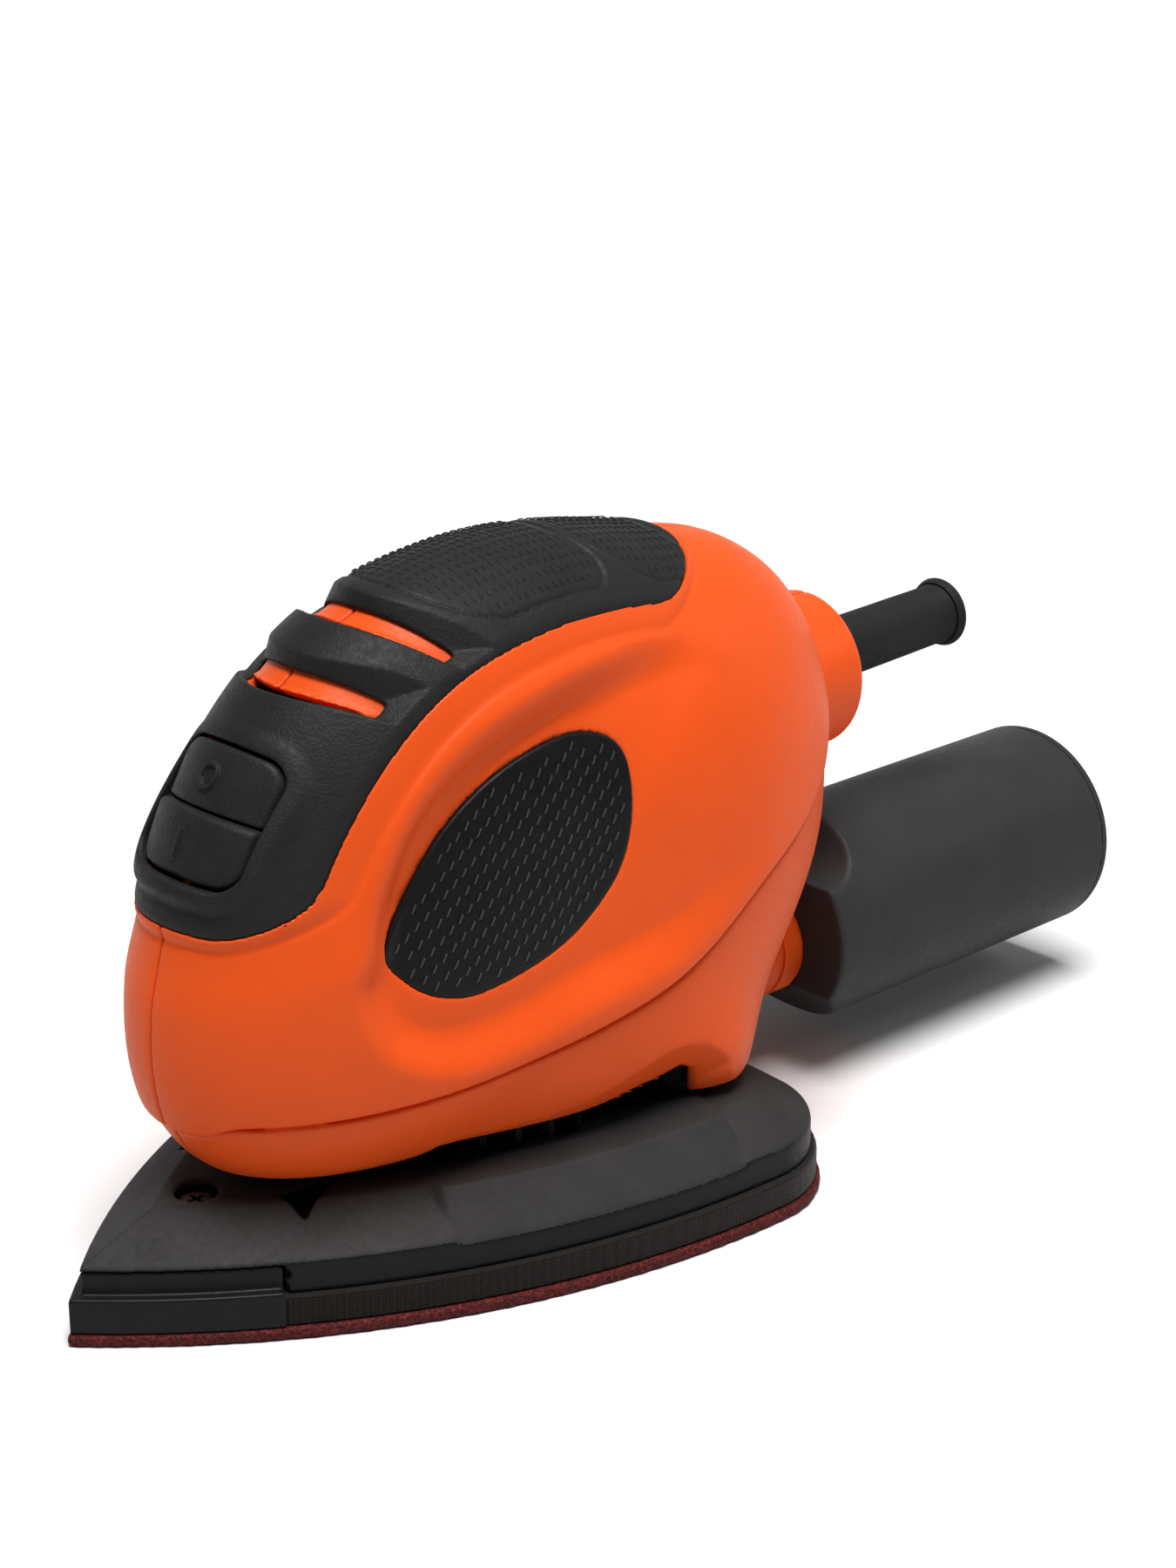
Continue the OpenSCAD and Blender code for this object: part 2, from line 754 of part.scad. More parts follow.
module bearing_retainer() {
    low = pin_bearing_z + pin_bearing[2];
    color(steel) difference() {
        at_pin() ring(15.5, 9, low, low + 1);
        retainer_screw_places() translate([0, 0, 10]) cylinder(r = 1.5, h = 20);
    }
}

module retainer_screws() {
    low = pin_bearing_z + pin_bearing[2] + 1;
    color(steel) retainer_screw_places() {
        translate([0, 0, 12]) cylinder(r = 1.5, h = low - 12);
        translate([0, 0, low]) cylinder(r = 2, h = 0.5);
    }
}

// Edge of the platen's flat top on the +Y side
crown_side = [[-63, 5], [-30, 25], [10, 36], [38, 28], [40, 1]];

module platen_crown() {
    hull() {
        slab(2.3, rim_top - eps, rim_top);
        translate([0, 0, platen_top - eps]) linear_extrude(eps)
            polygon(concat(crown_side, [for (i = [len(crown_side) - 1:-1:0])
                [crown_side[i][0], -crown_side[i][1]]]));
    }
}

// Raised panel along one side, where a name plate sits
module platen_panel() {
    rotate([90, 0, 90]) translate([0, 0, -28]) linear_extrude(56)
        polygon([[-34, 12], [-46, 12], [-46, rim_top], [-39, platen_top - 0.4], [-34, platen_top - 0.4]]);
}

// Plan of the diamond tip: everything ahead of the joint, which runs back to a vertex
module tip_plan(gap) {
    linear_extrude(100) polygon([[-200, -60], [tip_joint - gap, -60], [tip_joint - gap, -tip_half_w],
        [tip_vertex - gap, 0], [tip_joint - gap, tip_half_w], [tip_joint - gap, 60], [-200, 60]]);
}

module at_posts(shift) {
    for (p = [post_front, post_rear], side = [-1, 1]) translate([p[0] + shift, side * p[1], 0]) children();
}

module dust_holes() {
    for (p = extraction_holes, side = [-1, 1])
        translate([p[0], side * p[1], -1]) cylinder(r = extraction_r, h = 40);
}

module retainer_screw_places() {
    at_pin() for (i = [0:2]) rotate([0, 0, 60 + i * 120]) translate([13.2, 0, 0]) children();
}

module platen() {
    retainer_z = pin_bearing_z + pin_bearing[2];
    color([0.17, 0.17, 0.17]) difference() {
        union() {
            difference() {
                slab(2.1, pad_top, rim_top);
                tip_plan(0);
            }
            platen_crown();
            intersection() {
                for (side = [0, 1]) mirror([0, side, 0]) platen_panel();
                slab(2.3, pad_top, platen_top);
            }
        }
        at_pin() {
            translate([0, 0, pin_bearing_z]) cylinder(r = pin_bearing[1], h = 20);
            translate([0, 0, retainer_z]) cylinder(r = 15.6, h = 20);
            translate([0, 0, pad_top - 1]) cylinder(r = 7, h = 20);
        }
        retainer_screw_places() translate([0, 0, 12]) cylinder(r = 1.5, h = 20);
        at_posts(orbit_r) {
            translate([0, 0, post_low]) cylinder(r = post_r + run_gap, h = 20);
            translate([0, 0, post_foot]) cylinder(r = post_r + post_room, h = 20);
        }
        along_x(port_from - 2 * orbit_r, port_from + 40, port_r + port_room, port_z);
        dust_holes();
        translate([tip_screw_x, 0, 0]) {
            cylinder(r = 1.9, h = 40);
            translate([0, 0, 16]) cylinder(r = 3.6, h = 10);
        }
    }
}

module hook_pad() {
    color(black) difference() {
        slab(0.7, sheet_t, pad_top);
        tip_plan(0);
        dust_holes();
    }
}

module sanding_sheet() {
    color([0.3, 0.07, 0.06]) difference() {
        slab(0, 0, sheet_t);
        dust_holes();
    }
}

// Replaceable diamond tip, proud below and stepped in above
module tip_block() {
    step_z = 8.5;
    color([0.1, 0.1, 0.1]) difference() {
        union() {
            intersection() {
                slab(0.5, sheet_t, step_z);
                tip_plan(tip_joint_gap);
            }
            intersection() {
                slab(2.4, step_z - 1, rim_top - 0.05);
                tip_plan(tip_joint_gap);
            }
        }
        translate([tip_screw_x, 0, 4]) cylinder(r = 1.5, h = 20);
    }
}

module tip_screw() {
    color(steel) translate([tip_screw_x, 0, 0]) difference() {
        union() {
            translate([0, 0, 4.2]) cylinder(r = 1.5, h = 12);
            translate([0, 0, 16]) cylinder(r = 3, h = 1.6);
        }
        translate([0, 0, 16.6]) cylinder(r = 1.2, h = 4);
    }
}

// ---------- Flexible posts ----------

// A round rubber post, bent sideways by the eccentric offset; it circles its own upper end
module flexible_post(p) {
    color([0.12, 0.12, 0.12]) translate([p[0], p[1], 0]) {
        translate([orbit_r, 0, post_low + 0.1]) cylinder(r = post_r, h = post_foot - post_low);
        translate([0, 0, post_neck]) cylinder(r = post_r, h = post_high - post_neck);
        hull() {
            translate([orbit_r, 0, post_foot]) cylinder(r = post_r - 0.2, h = 0.2, $fn = 32);
            translate([0, 0, post_neck]) cylinder(r = post_r - 0.2, h = 0.2, $fn = 32);
        }
    }
}

module post_front_left() { flexible_post([post_front[0], -post_front[1]]); }
module post_front_right() { flexible_post([post_front[0], post_front[1]]); }
module post_rear_left() { flexible_post([post_rear[0], -post_rear[1]]); }
module post_rear_right() { flexible_post([post_rear[0], post_rear[1]]); }

// ---------- Dust port and canister ----------

module along_x(from, to, r, z) {
    translate([from, 0, z]) rotate([0, 90, 0]) cylinder(r = r, h = to - from);
}

module dust_port() {
    color(orange) difference() {
        along_x(port_from, port_end, port_r, port_z);
        along_x(port_from - 1, port_end + 1, port_r - port_wall, port_z);
        difference() {
            along_x(78.2, 79.4, port_r + 1, port_z);
            along_x(78, 80, port_r - 0.6, port_z);
        }
        difference() {
            along_x(81, 83, port_r + 1, port_z);
            along_x(80, 84, port_r - 1, port_z);
        }
    }
}

module port_seal() {
    color(black) difference() {
        along_x(81, 83, port_r, port_z);
        along_x(80, 84, port_r - 1, port_z);
    }
}

// Side profile that shapes the canister's front: recessed neck, concave shoulder, raked underside
module canister_profile(grow) {
    bottom = canister_z - canister_r - 1;
    rotate([90, 0, 0]) linear_extrude(120, center = true) difference() {
        polygon([[neck_x + grow, 18], [shoulder_x + grow, bottom], [200, bottom], [200, 60],
            [neck_x + grow, 60]]);
        translate([78, 50]) circle(9.8 + grow);
        translate([60, 50]) square([18, 20]);
        translate([60, 49.8]) square([shoulder_x - 60 - 0.7 + grow, 20]);
    }
}

module dust_canister() {
    color(dark) difference() {
        intersection() {
            along_x(neck_x, lid_from, canister_r, canister_z);
            canister_profile(0);
        }
        intersection() {
            along_x(neck_x, canister_end + 1, canister_r - canister_wall, canister_z);
            canister_profile(canister_wall);
        }
        along_x(neck_x - 1, neck_x + 20, port_r + run_gap, port_z);
    }
}

module canister_cap() {
    color(dark) {
        along_x(lid_from, canister_end, canister_r, canister_z);
        difference() {
            along_x(lid_from - 5, lid_from + eps, canister_r - canister_wall - 0.1, canister_z);
            along_x(lid_from - 6, lid_from, canister_r - canister_wall - 1.6, canister_z);
        }
    }
}

module filter_frame() {
    color([0.2, 0.2, 0.2]) {
        difference() {
            along_x(lid_from - 4, lid_from, filter_r + 2, canister_z);
            along_x(lid_from - 5, lid_from - 2, filter_r + 0.5, canister_z);
        }
        along_x(filter_from - 2, filter_from, filter_r + 1, canister_z);
        for (i = [0:3]) translate([0, 0, canister_z]) rotate([i * 90 + 45, 0, 0])
            translate([filter_from - 1, -1, filter_r - 0.2]) cube([lid_from - filter_from - 2, 2, 1.2]);
    }
}

// Zigzag outline of the pleats, from their crests to their roots
function pleat_outline(crest, root, pleats) = [for (i = [0:2 * pleats - 1])
    let (r = i % 2 == 0 ? crest : root, a = i * 180 / pleats) [r * cos(a), r * sin(a)]];

// Pleated paper sleeve
module filter_element() {
    pleats = 24;
    crest = filter_r - 0.4;
    root = filter_r - 2.2;
    color([0.9, 0.88, 0.8]) translate([filter_from, 0, canister_z]) rotate([0, 90, 0])
        linear_extrude(lid_from - 2 - filter_from) difference() {
            polygon(pleat_outline(crest, root, pleats));
            polygon(pleat_outline(crest - 1, root - 1, pleats));
        }
}

housing_left();
housing_right();
top_grip();
grip_insert_left();
grip_insert_right();
housing_screws();
fan_shroud();
dust_port();
port_seal();
cord_sleeve();
cord_clamp();
clamp_screws();
switch_block();
circuit_board();
capacitor();
motor_can();
magnets();
motor_end_cap();
brush_holders();
brushes();
brush_springs();
upper_bearing_outer();
lower_bearing_outer();
motor_shaft();
armature_core();
windings();
commutator();
upper_bearing_inner();
lower_bearing_inner();
dust_fan();
counterweight();
eccentric_pin();
pin_bearing_inner();
pin_bearing_outer();
bearing_retainer();
retainer_screws();
platen();
hook_pad();
sanding_sheet();
tip_block();
tip_screw();
post_front_left();
post_front_right();
post_rear_left();
post_rear_right();
switch_rocker();
rocker_pin();
dust_canister();
canister_cap();
filter_frame();
filter_element();
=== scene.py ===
"""Detail mouse sander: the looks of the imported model, a camera, a floor and studio light."""
import json
import math

import bmesh
import bpy
import numpy as np
from mathutils import Matrix, Vector
from mathutils.bvhtree import BVHTree


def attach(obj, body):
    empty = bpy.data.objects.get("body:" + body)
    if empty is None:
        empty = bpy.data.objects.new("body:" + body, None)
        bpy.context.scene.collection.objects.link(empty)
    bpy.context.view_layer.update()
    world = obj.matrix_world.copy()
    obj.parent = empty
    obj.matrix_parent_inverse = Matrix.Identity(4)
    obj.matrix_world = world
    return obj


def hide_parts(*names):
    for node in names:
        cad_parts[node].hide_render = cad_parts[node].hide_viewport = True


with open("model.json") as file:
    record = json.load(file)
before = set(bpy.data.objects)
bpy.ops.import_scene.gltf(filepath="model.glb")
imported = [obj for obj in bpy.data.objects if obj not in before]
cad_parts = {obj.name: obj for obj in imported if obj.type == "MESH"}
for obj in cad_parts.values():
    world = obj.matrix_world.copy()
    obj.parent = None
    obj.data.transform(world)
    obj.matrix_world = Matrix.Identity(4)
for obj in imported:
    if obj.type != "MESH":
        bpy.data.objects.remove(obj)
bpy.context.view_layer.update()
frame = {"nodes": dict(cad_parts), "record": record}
MM = 0.001

# ---------- Driving dimensions, in millimetres, as in the CAD source ----------

HUB_X, HUB_Z = 2.0, 62.0
OUTLINE_STEP = 30
OUTLINE_RADII = np.array([78, 80, 63.5, 57.5, 58.5, 61, 67, 72.5, 58.5, 63, 77, 70.5])
WALL = 3.2
CAP_T = 1.6
CAP_FRONT, CAP_REAR = 175.0, 51.0
CAP_HALF_W, CAP_CORNER = 21.0, 12.0
SKIRT_Z = 20.5
INSERT_T = 1.4
VENTS = [(134.0, 130.0, 16.0), (118.5, 113.0, 17.0)]
VENT_HALF, VENT_BEVEL, VENT_RUN_OUT = 2.8, 1.9, 3.8
SWITCH_TOP, SWITCH_LOW, SWITCH_SPLIT = 147.0, 167.5, 157.4
SWITCH_HALF_W, SWITCH_CORNER = 12.5, 4
ROCKER_PIN, ROCKER_SWING = (-44.5, 81), 16.85
SCREWS = [(-52, 37), (-47, 64), (52, 44), (56, 97), (12, 103)]
SCREW_BOSS_R, SCREW_HEAD_R, SCREW_HEAD_Y = 4.2, 3.5, 9
BOSS_START, BOSS_Z, BOSS_R, BOSS_END = 60, 78.6, 15.1, 88.0
PORT_Z, PORT_R = 25.7, 10.9
SLEEVE_R = 6.0
SLEEVE_START, SLEEVE_END, SLEEVE_Z, SLEEVE_TILT = 66, 128, 79, 2.4
CAMERA_TURN = -43.361

# Side grip outline and the scooped flank around it, in the side view [x, z]
GRIP_LOOP = [(-37.5, 63), (-34, 57), (-28, 53.7), (-20, 53.5), (-5, 58), (5.5, 65.5), (10.5, 74),
             (12, 85), (8.5, 90), (0, 91), (-13, 87.7), (-24, 80.8), (-33, 70.5)]
SCOOP_LOOP = [(-46, 57), (-43.5, 65), (-39.5, 75), (-33, 85), (-24, 92.8), (-12, 98.6), (8, 103),
              (34, 104), (54, 90), (54, 70), (38, 57), (18, 49), (-2, 45), (-18, 41), (-31, 40.5),
              (-41.5, 46)]
BELT = [(-80, 31), (-64.4, 31.9), (-60, 34.9), (-54.6, 35.5), (-39.6, 36.5), (-23.1, 38.1), (0.8, 42.1),
        (20.6, 47.7), (39.5, 58.1), (59.1, 67.5), (72, 80), (95, 110)]
FACET = [(-80, 22), (-34, 24), (-26, 25.9), (-12.9, 26.2), (0, 27.6), (10, 31), (17, 33), (24, 32),
         (30, 27.5), (38, 20), (95, 10)]
HEM = [(-100, SKIRT_Z), (-31, SKIRT_Z), (-26.5, 23.8), (16.5, 23.8), (18, 26.3), (20.5, 27.4), (23, 26.3),
       (24.5, SKIRT_Z), (110, SKIRT_Z)]


# ---------- Distance fields ----------

CURVE_STEPS = 8
EMPTY = 9.0


def smax(a, b, k):
    """The larger of two fields, with the corner between them rounded over k."""
    h = np.maximum(k - np.abs(a - b), 0) / k
    return np.maximum(a, b) + h * h * k * 0.25


def smin(a, b, k):
    return -smax(-a, -b, k)


def smoothstep(low, high, v):
    t = np.clip((v - low) / (high - low), 0, 1)
    return t * t * (3 - 2 * t)


def catmull(p, t):
    """A point on the smooth curve through four points, between the middle two."""
    return 0.5 * (2 * p[1] + (p[2] - p[0]) * t + (2 * p[0] - 5 * p[1] + 4 * p[2] - p[3]) * t * t
                  + (3 * p[1] - p[0] - 3 * p[2] + p[3]) * t * t * t)


def smooth_loop(points):
    """A closed curve through the points."""
    p = np.array(points, float)
    n = len(p)
    return np.array([catmull([p[(i + j) % n] for j in (-1, 0, 1, 2)], k / CURVE_STEPS)
                     for i in range(n) for k in range(CURVE_STEPS)])


def smooth_line(points):
    """An open curve through the points."""
    p = np.array(points, float)
    p = np.vstack([2 * p[0] - p[1], p, 2 * p[-1] - p[-2]])
    rows = [catmull(p[i:i + 4], k / CURVE_STEPS) for i in range(len(p) - 3) for k in range(CURVE_STEPS)]
    return np.array(rows + [p[-2]])


def segment_square(p, q, x, z):
    """Squared distance to the straight line from p to q."""
    ex, ez = q - p
    wx, wz = x - p[0], z - p[1]
    t = np.clip((wx * ex + wz * ez) / (ex * ex + ez * ez), 0, 1)
    return (wx - ex * t) ** 2 + (wz - ez * t) ** 2


def loop_distance(loop, x, z):
    """Signed distance to a closed loop in the side view, negative inside it."""
    best = np.full(np.broadcast(x, z).shape, 1e9)
    inside = np.zeros(best.shape, bool)
    for p, q in zip(loop, np.roll(loop, -1, axis=0)):
        best = np.minimum(best, segment_square(p, q, x, z))
        ex, ez = q - p
        crosses = (p[1] > z) != (q[1] > z)
        slope = ex / ez if ez else 0
        inside ^= crosses & (x < p[0] + (z - p[1]) * slope)
    return np.where(inside, -1, 1) * np.sqrt(best)


def below_line(line, x, z):
    """Signed distance to an open line that runs along X, positive under it."""
    best = np.full(np.broadcast(x, z).shape, 1e9)
    side = np.ones(best.shape)
    for p, q in zip(line[:-1], line[1:]):
        d = segment_square(p, q, x, z)
        nearer = d < best
        best = np.where(nearer, d, best)
        ex, ez = q - p
        under = ex * (z - p[1]) - ez * (x - p[0]) < 0
        side = np.where(nearer, np.where(under, 1, -1), side)
    return side * np.sqrt(best)


def ridge_radius(a):
    """Radius of the side outline about the hub, at an angle in degrees."""
    k = a / OUTLINE_STEP
    i = np.floor(k).astype(int)
    return catmull([OUTLINE_RADII[(i + j) % len(OUTLINE_RADII)] for j in (-1, 0, 1, 2)], k - i)


def ridge_angle(x, z):
    return np.degrees(np.arctan2(z - HUB_Z, x - HUB_X)) % 360


def half_width(x, z):
    """Half the housing's width along Y at a place in the side view."""
    u, v = (x - HUB_X) / 50, (z - HUB_Z) / 50
    return 37.2 + 3.7 * u - 2.3 * v - 0.35 * u * u - v * v


def lens(x, y, z):
    """The housing's smooth outer form: under 0 inside, 0 on the surface."""
    a = ridge_angle(x, z)
    share = np.hypot(x - HUB_X, z - HUB_Z) / ridge_radius(a)
    across_power, ridge_power = 2.15, 2.4 - 0.3 * np.sin(np.radians(a))
    return (np.abs(y) / half_width(x, z)) ** across_power + share ** ridge_power - 1


class Grid:
    """A block of sample points that fields are worked out on."""

    def __init__(self, low, high, step):
        axes = [np.arange(a, b + step, step) for a, b in zip(low, high)]
        self.x, self.y, self.z = np.meshgrid(*axes, indexing="ij", sparse=True)
        self.low, self.step = np.array([a[0] for a in axes]), step

    def distance(self, field):
        """A field scaled so that it grows by about 1 per millimetre near its surface."""
        grad = np.gradient(field, self.step)
        size = np.sqrt(sum(g * g for g in grad))
        return np.clip(field / np.maximum(size, 1e-3), -30, 30)

    def skin(self):
        return self.distance(lens(self.x, self.y, self.z))


CORNERS = [(i, j, k) for i in (0, 1) for j in (0, 1) for k in (0, 1)]
EDGES = [(a, b) for a in range(8) for b in range(a + 1, 8)
         if sum(p != q for p, q in zip(CORNERS[a], CORNERS[b])) == 1]


def surface_net(v):
    """Vertices (in cells) and quads of the surface where the field v is 0, closed at the grid's edge."""
    v = np.pad(v, 1, constant_values=5.0)
    inside = v < 0
    cut = [slice(0, -1), slice(1, None)]
    count = sum(inside[cut[i], cut[j], cut[k]].astype(np.uint8) for i, j, k in CORNERS)
    active = (count > 0) & (count < 8)
    cells = np.argwhere(active)
    ids = np.full(active.shape, -1, np.int64)
    ids[active] = np.arange(len(cells))
    at = [v[cells[:, 0] + i, cells[:, 1] + j, cells[:, 2] + k] for i, j, k in CORNERS]
    total = np.zeros((len(cells), 3))
    hits = np.zeros((len(cells), 1))
    for a, b in EDGES:
        crossed = (at[a] < 0) != (at[b] < 0)
        t = (at[a] / np.where(crossed, at[a] - at[b], 1))[:, None]
        p, q = np.array(CORNERS[a]), np.array(CORNERS[b])
        total += np.where(crossed[:, None], p + t * (q - p), 0)
        hits += crossed[:, None]
    quads = []
    for axis in range(3):
        u, w = (axis + 1) % 3, (axis + 2) % 3
        here = [slice(1, -1)] * 3
        here[axis] = slice(0, -1)
        there = list(here)
        there[axis] = slice(1, None)
        first, second = inside[tuple(here)], inside[tuple(there)]
        for leaves, order in ((first & ~second, 1), (~first & second, -1)):
            g = np.argwhere(leaves) + [0 if i == axis else 1 for i in range(3)]
            ring = []
            for du, dw in ((-1, -1), (0, -1), (0, 0), (-1, 0)):
                c = g.copy()
                c[:, u] += du
                c[:, w] += dw
                ring.append(ids[c[:, 0], c[:, 1], c[:, 2]])
            quads.append(np.stack(ring[::order], axis=1))
    return cells + total / hits - 1, np.vstack(quads)


def add_object(name, data):
    piece = bpy.data.objects.new(name, data)
    bpy.context.scene.collection.objects.link(piece)
    return piece


def quads_piece(name, points, quads):
    """A smooth mesh object from points in millimetres and a table of quads."""
    mesh = bpy.data.meshes.new(name)
    mesh.vertices.add(len(points))
    mesh.vertices.foreach_set("co", (np.asarray(points, np.float64) * MM).ravel().astype(np.float32))
    mesh.loops.add(quads.size)
    mesh.loops.foreach_set("vertex_index", quads.ravel().astype(np.int32))
    mesh.polygons.add(len(quads))
    mesh.polygons.foreach_set("loop_start", np.arange(0, quads.size, 4, dtype=np.int32))
    mesh.update(calc_edges=True)
    mesh.shade_smooth()
    return add_object(name, mesh)


def relax(points, quads, turns):
    """Evens the vertices out along the surface, a little towards their neighbours' middle."""
    for _ in range(turns):
        total = np.zeros_like(points)
        hits = np.zeros((len(points), 1))
        for a, b in ((0, 1), (1, 2), (2, 3), (3, 0)):
            np.add.at(total, quads[:, a], points[quads[:, b]])
            np.add.at(hits, quads[:, a], 1)
        points = points * 0.5 + total / hits * 0.5
    return points


def field_piece(name, grid, field, keep=1.0, turns=1, mirror=False):
    """A mesh object from a field on a grid; keep is the share of its faces to keep."""
    points, quads = surface_net(np.asarray(field, np.float32))
    points = grid.low + relax(points, quads, turns) * grid.step
    if mirror:
        points = points * [1, -1, 1]
        quads = quads[:, ::-1]
    piece = quads_piece(name, points, quads)
    if keep < 1:
        thin = piece.modifiers.new("thin", "DECIMATE")
        thin.ratio = keep
        apply_modifiers(piece)
    return piece


def apply_modifiers(piece):
    graph = bpy.context.evaluated_depsgraph_get()
    mesh = bpy.data.meshes.new_from_object(piece.evaluated_get(graph))
    piece.modifiers.clear()
    piece.data = mesh


# ---------- Shared shapes ----------

# How much of a vent's bevel the underside of the cap, and its seat, follow
UNDERSIDE_SHARE = 0.6
ARC_ANGLES = np.arange(0, 361, 1.0)
ARC_RADII = ridge_radius(ARC_ANGLES % 360)
ARC_STEPS = np.hypot(np.diff(ARC_RADII), ARC_RADII[:-1] * math.radians(1))
ARC_LENGTHS = np.concatenate([[0], np.cumsum(ARC_STEPS)])


def arc_at(a):
    """Length along the ridge, from the cap's rear end towards the nose."""
    return np.interp(a, ARC_ANGLES, ARC_LENGTHS) - np.interp(CAP_REAR, ARC_ANGLES, ARC_LENGTHS)


def angle_at(u):
    """The ridge angle at a length along the ridge."""
    return float(np.interp(u + np.interp(CAP_REAR, ARC_ANGLES, ARC_LENGTHS), ARC_LENGTHS, ARC_ANGLES))


def round_box(u, v, low, high, half, corner):
    """Signed distance to a rounded rectangle, from low to high in u and half wide in v."""
    qu = np.abs(u - (low + high) / 2) - (high - low) / 2 + corner
    qv = np.abs(v) - half + corner
    return np.hypot(np.maximum(qu, 0), np.maximum(qv, 0)) + np.minimum(np.maximum(qu, qv), 0) - corner


def cap_edge(u, y):
    return round_box(u, y, 0, arc_at(CAP_FRONT), CAP_HALF_W, CAP_CORNER)


def paddle_edge(u, y, grow):
    """Signed distance to the rocker's outline, made larger by grow."""
    low, high = arc_at(SWITCH_TOP) - grow, arc_at(SWITCH_LOW) + grow
    return round_box(u, y, low, high, SWITCH_HALF_W + grow, SWITCH_CORNER + grow)


def crescent(u, y, vent, half_height, half_length):
    """Signed distance, near enough, to a slot that bows across the ridge and thins to its ends."""
    thinning, end_rounding = 0.3, 1.2
    thin = 1 - thinning * np.clip(np.abs(y) / half_length, 0, 1) ** 3
    across = np.abs(u - vent_centre(y, vent)) - half_height * thin
    return smax(across, np.abs(y) - half_length, end_rounding)


def vent_centre(y, vent):
    """Where the middle of a vent runs along the ridge, at a side offset y."""
    middle, end, reach = vent
    return arc_at(middle) + (arc_at(end) - arc_at(middle)) * (y / reach) ** 2


def vent_slot(u, y, vent):
    return crescent(u, y, vent, VENT_HALF, vent[2])


def vent_slots(u, y):
    return np.minimum.reduce([vent_slot(u, y, vent) for vent in VENTS])


def vent_recess(u, y, vent):
    """Depth of the bevel that leads down into a vent and runs out in a corner past its ends."""
    reach = vent[2]
    ahead = u - vent_centre(y, vent)
    width = 2.0 + 2.4 * np.clip(np.abs(y) / reach, 0, 1) ** 2
    slope = np.clip((ahead + VENT_HALF + width) / width, 0, 1)
    run_out = np.clip((reach + VENT_RUN_OUT - np.abs(y)) / VENT_RUN_OUT, 0, 1)
    in_front = smoothstep(VENT_HALF + 0.35, VENT_HALF - 0.35, ahead)
    return VENT_BEVEL * np.minimum(slope, run_out) * in_front


def rod(p, q, centre, r):
    """Distance to a long round rod, from the two coordinates across it."""
    return np.hypot(p - centre[0], q - centre[1]) - r


def sleeve_distance(x, y, z, r):
    """Distance to a rod along the cord's way out, which rises a little to the rear."""
    rise = math.tan(math.radians(SLEEVE_TILT))
    return np.hypot(y, (z - (SLEEVE_Z + (x - SLEEVE_START) * rise))) - r


# ---------- Housing halves ----------

INNER_COVER = 2.2
SCOOP = smooth_loop(SCOOP_LOOP)
GRIP = smooth_loop(GRIP_LOOP)
BELT_LINE = smooth_line(BELT)
FACET_LINE = smooth_line(FACET)
HEM_LINE = np.array(HEM, float)


def scoop_depth(x, z):
    """How far the flank is pressed in around the side grip, less at its low side and not at its rear."""
    bank, deep, low_loss = 9, 5.8, 1.6
    inside = smoothstep(0, bank, -loop_distance(SCOOP, x, z))
    return (deep - low_loss * smoothstep(75, 50, z)) * inside * (1 - smoothstep(-2, 46, x))


def outer_body(g, skin, u):
    """The moulded outside: scooped flanks, a lip around the cap, and a skirt set in below the belt."""
    x, y, z = g.x, g.y, g.z
    lip_width, lip_crease, groove_half, skirt_inset = 2.0, 0.3, 0.45, 1.3
    cap = cap_edge(u, y)
    lip = np.clip(cap / lip_width, 0, 1) * (1 - smoothstep(2.4, 15, cap))
    lip = lip + lip_crease * np.exp(-((cap - 2.3) / 0.45) ** 2)
    # The rear leg stands out from the skirt, and the skirt leans in below the facet line
    flare = 3.2 * np.exp(-((x - 32) ** 2 + (z - 22) ** 2) / 170)
    lean = 0.42 * np.clip(below_line(FACET_LINE, x, z), 0, 9)
    press = scoop_depth(x, z) + lip
    belt = below_line(BELT_LINE, x, z)
    upper = smax(skin + press, belt + groove_half, 0.9)
    lower = smax(skin + skirt_inset + lean - flare, groove_half - belt, 0.9)
    groove_floor = skin + np.maximum(press + 1.9, 3.0 + lean)
    body = np.minimum(groove_floor, np.minimum(upper, lower))
    return smax(body, below_line(HEM_LINE, x, z), 1.2)


def boss_body(x, y, z):
    """The round boss that the cord sleeve comes out of."""
    ends = smax(x - BOSS_END, BOSS_START - x, 0.5)
    return smax(rod(y, z, (0, BOSS_Z), BOSS_R), ends, 1.6)


def screw_bosses(g, skin):
    bosses = np.minimum.reduce([rod(g.x, g.z, place, SCREW_BOSS_R) for place in SCREWS])
    return np.maximum(bosses, skin + INNER_COVER)


def motor_ribs(g, skin):
    """Two level ribs with round cut-outs that hold the motor."""
    rib_half_t, rib_half_w, motor_r = 1.5, 13, 18.7
    levels = np.minimum.reduce([np.abs(g.z - z - rib_half_t) - rib_half_t for z in (52, 70)])
    ribs = np.maximum(np.maximum(levels, np.abs(g.x) - rib_half_w), motor_r - np.hypot(g.x, g.y))
    return np.maximum(ribs, skin + INNER_COVER)


def pocket_depth(u, y):
    """Depth of the seat for the soft cap; in a vent the seat shows as two steps."""
    depth = np.full(np.broadcast(u, y).shape, CAP_T + 0.1)
    for vent in VENTS:
        ahead = u - vent_centre(y, vent)
        steps = 2.9 - 0.5 * smoothstep(0.3, 1.0, ahead)
        inside = smoothstep(-0.1, -0.6, vent_slot(u, y, vent))
        depth = depth + UNDERSIDE_SHARE * vent_recess(u, y, vent)
        depth = depth * (1 - inside) + steps * inside
    return depth


def vent_backing(u, y):
    """How much thicker the wall is under the vents."""
    return 1.2 * smoothstep(2.5, 0.5, vent_slots(u, y))


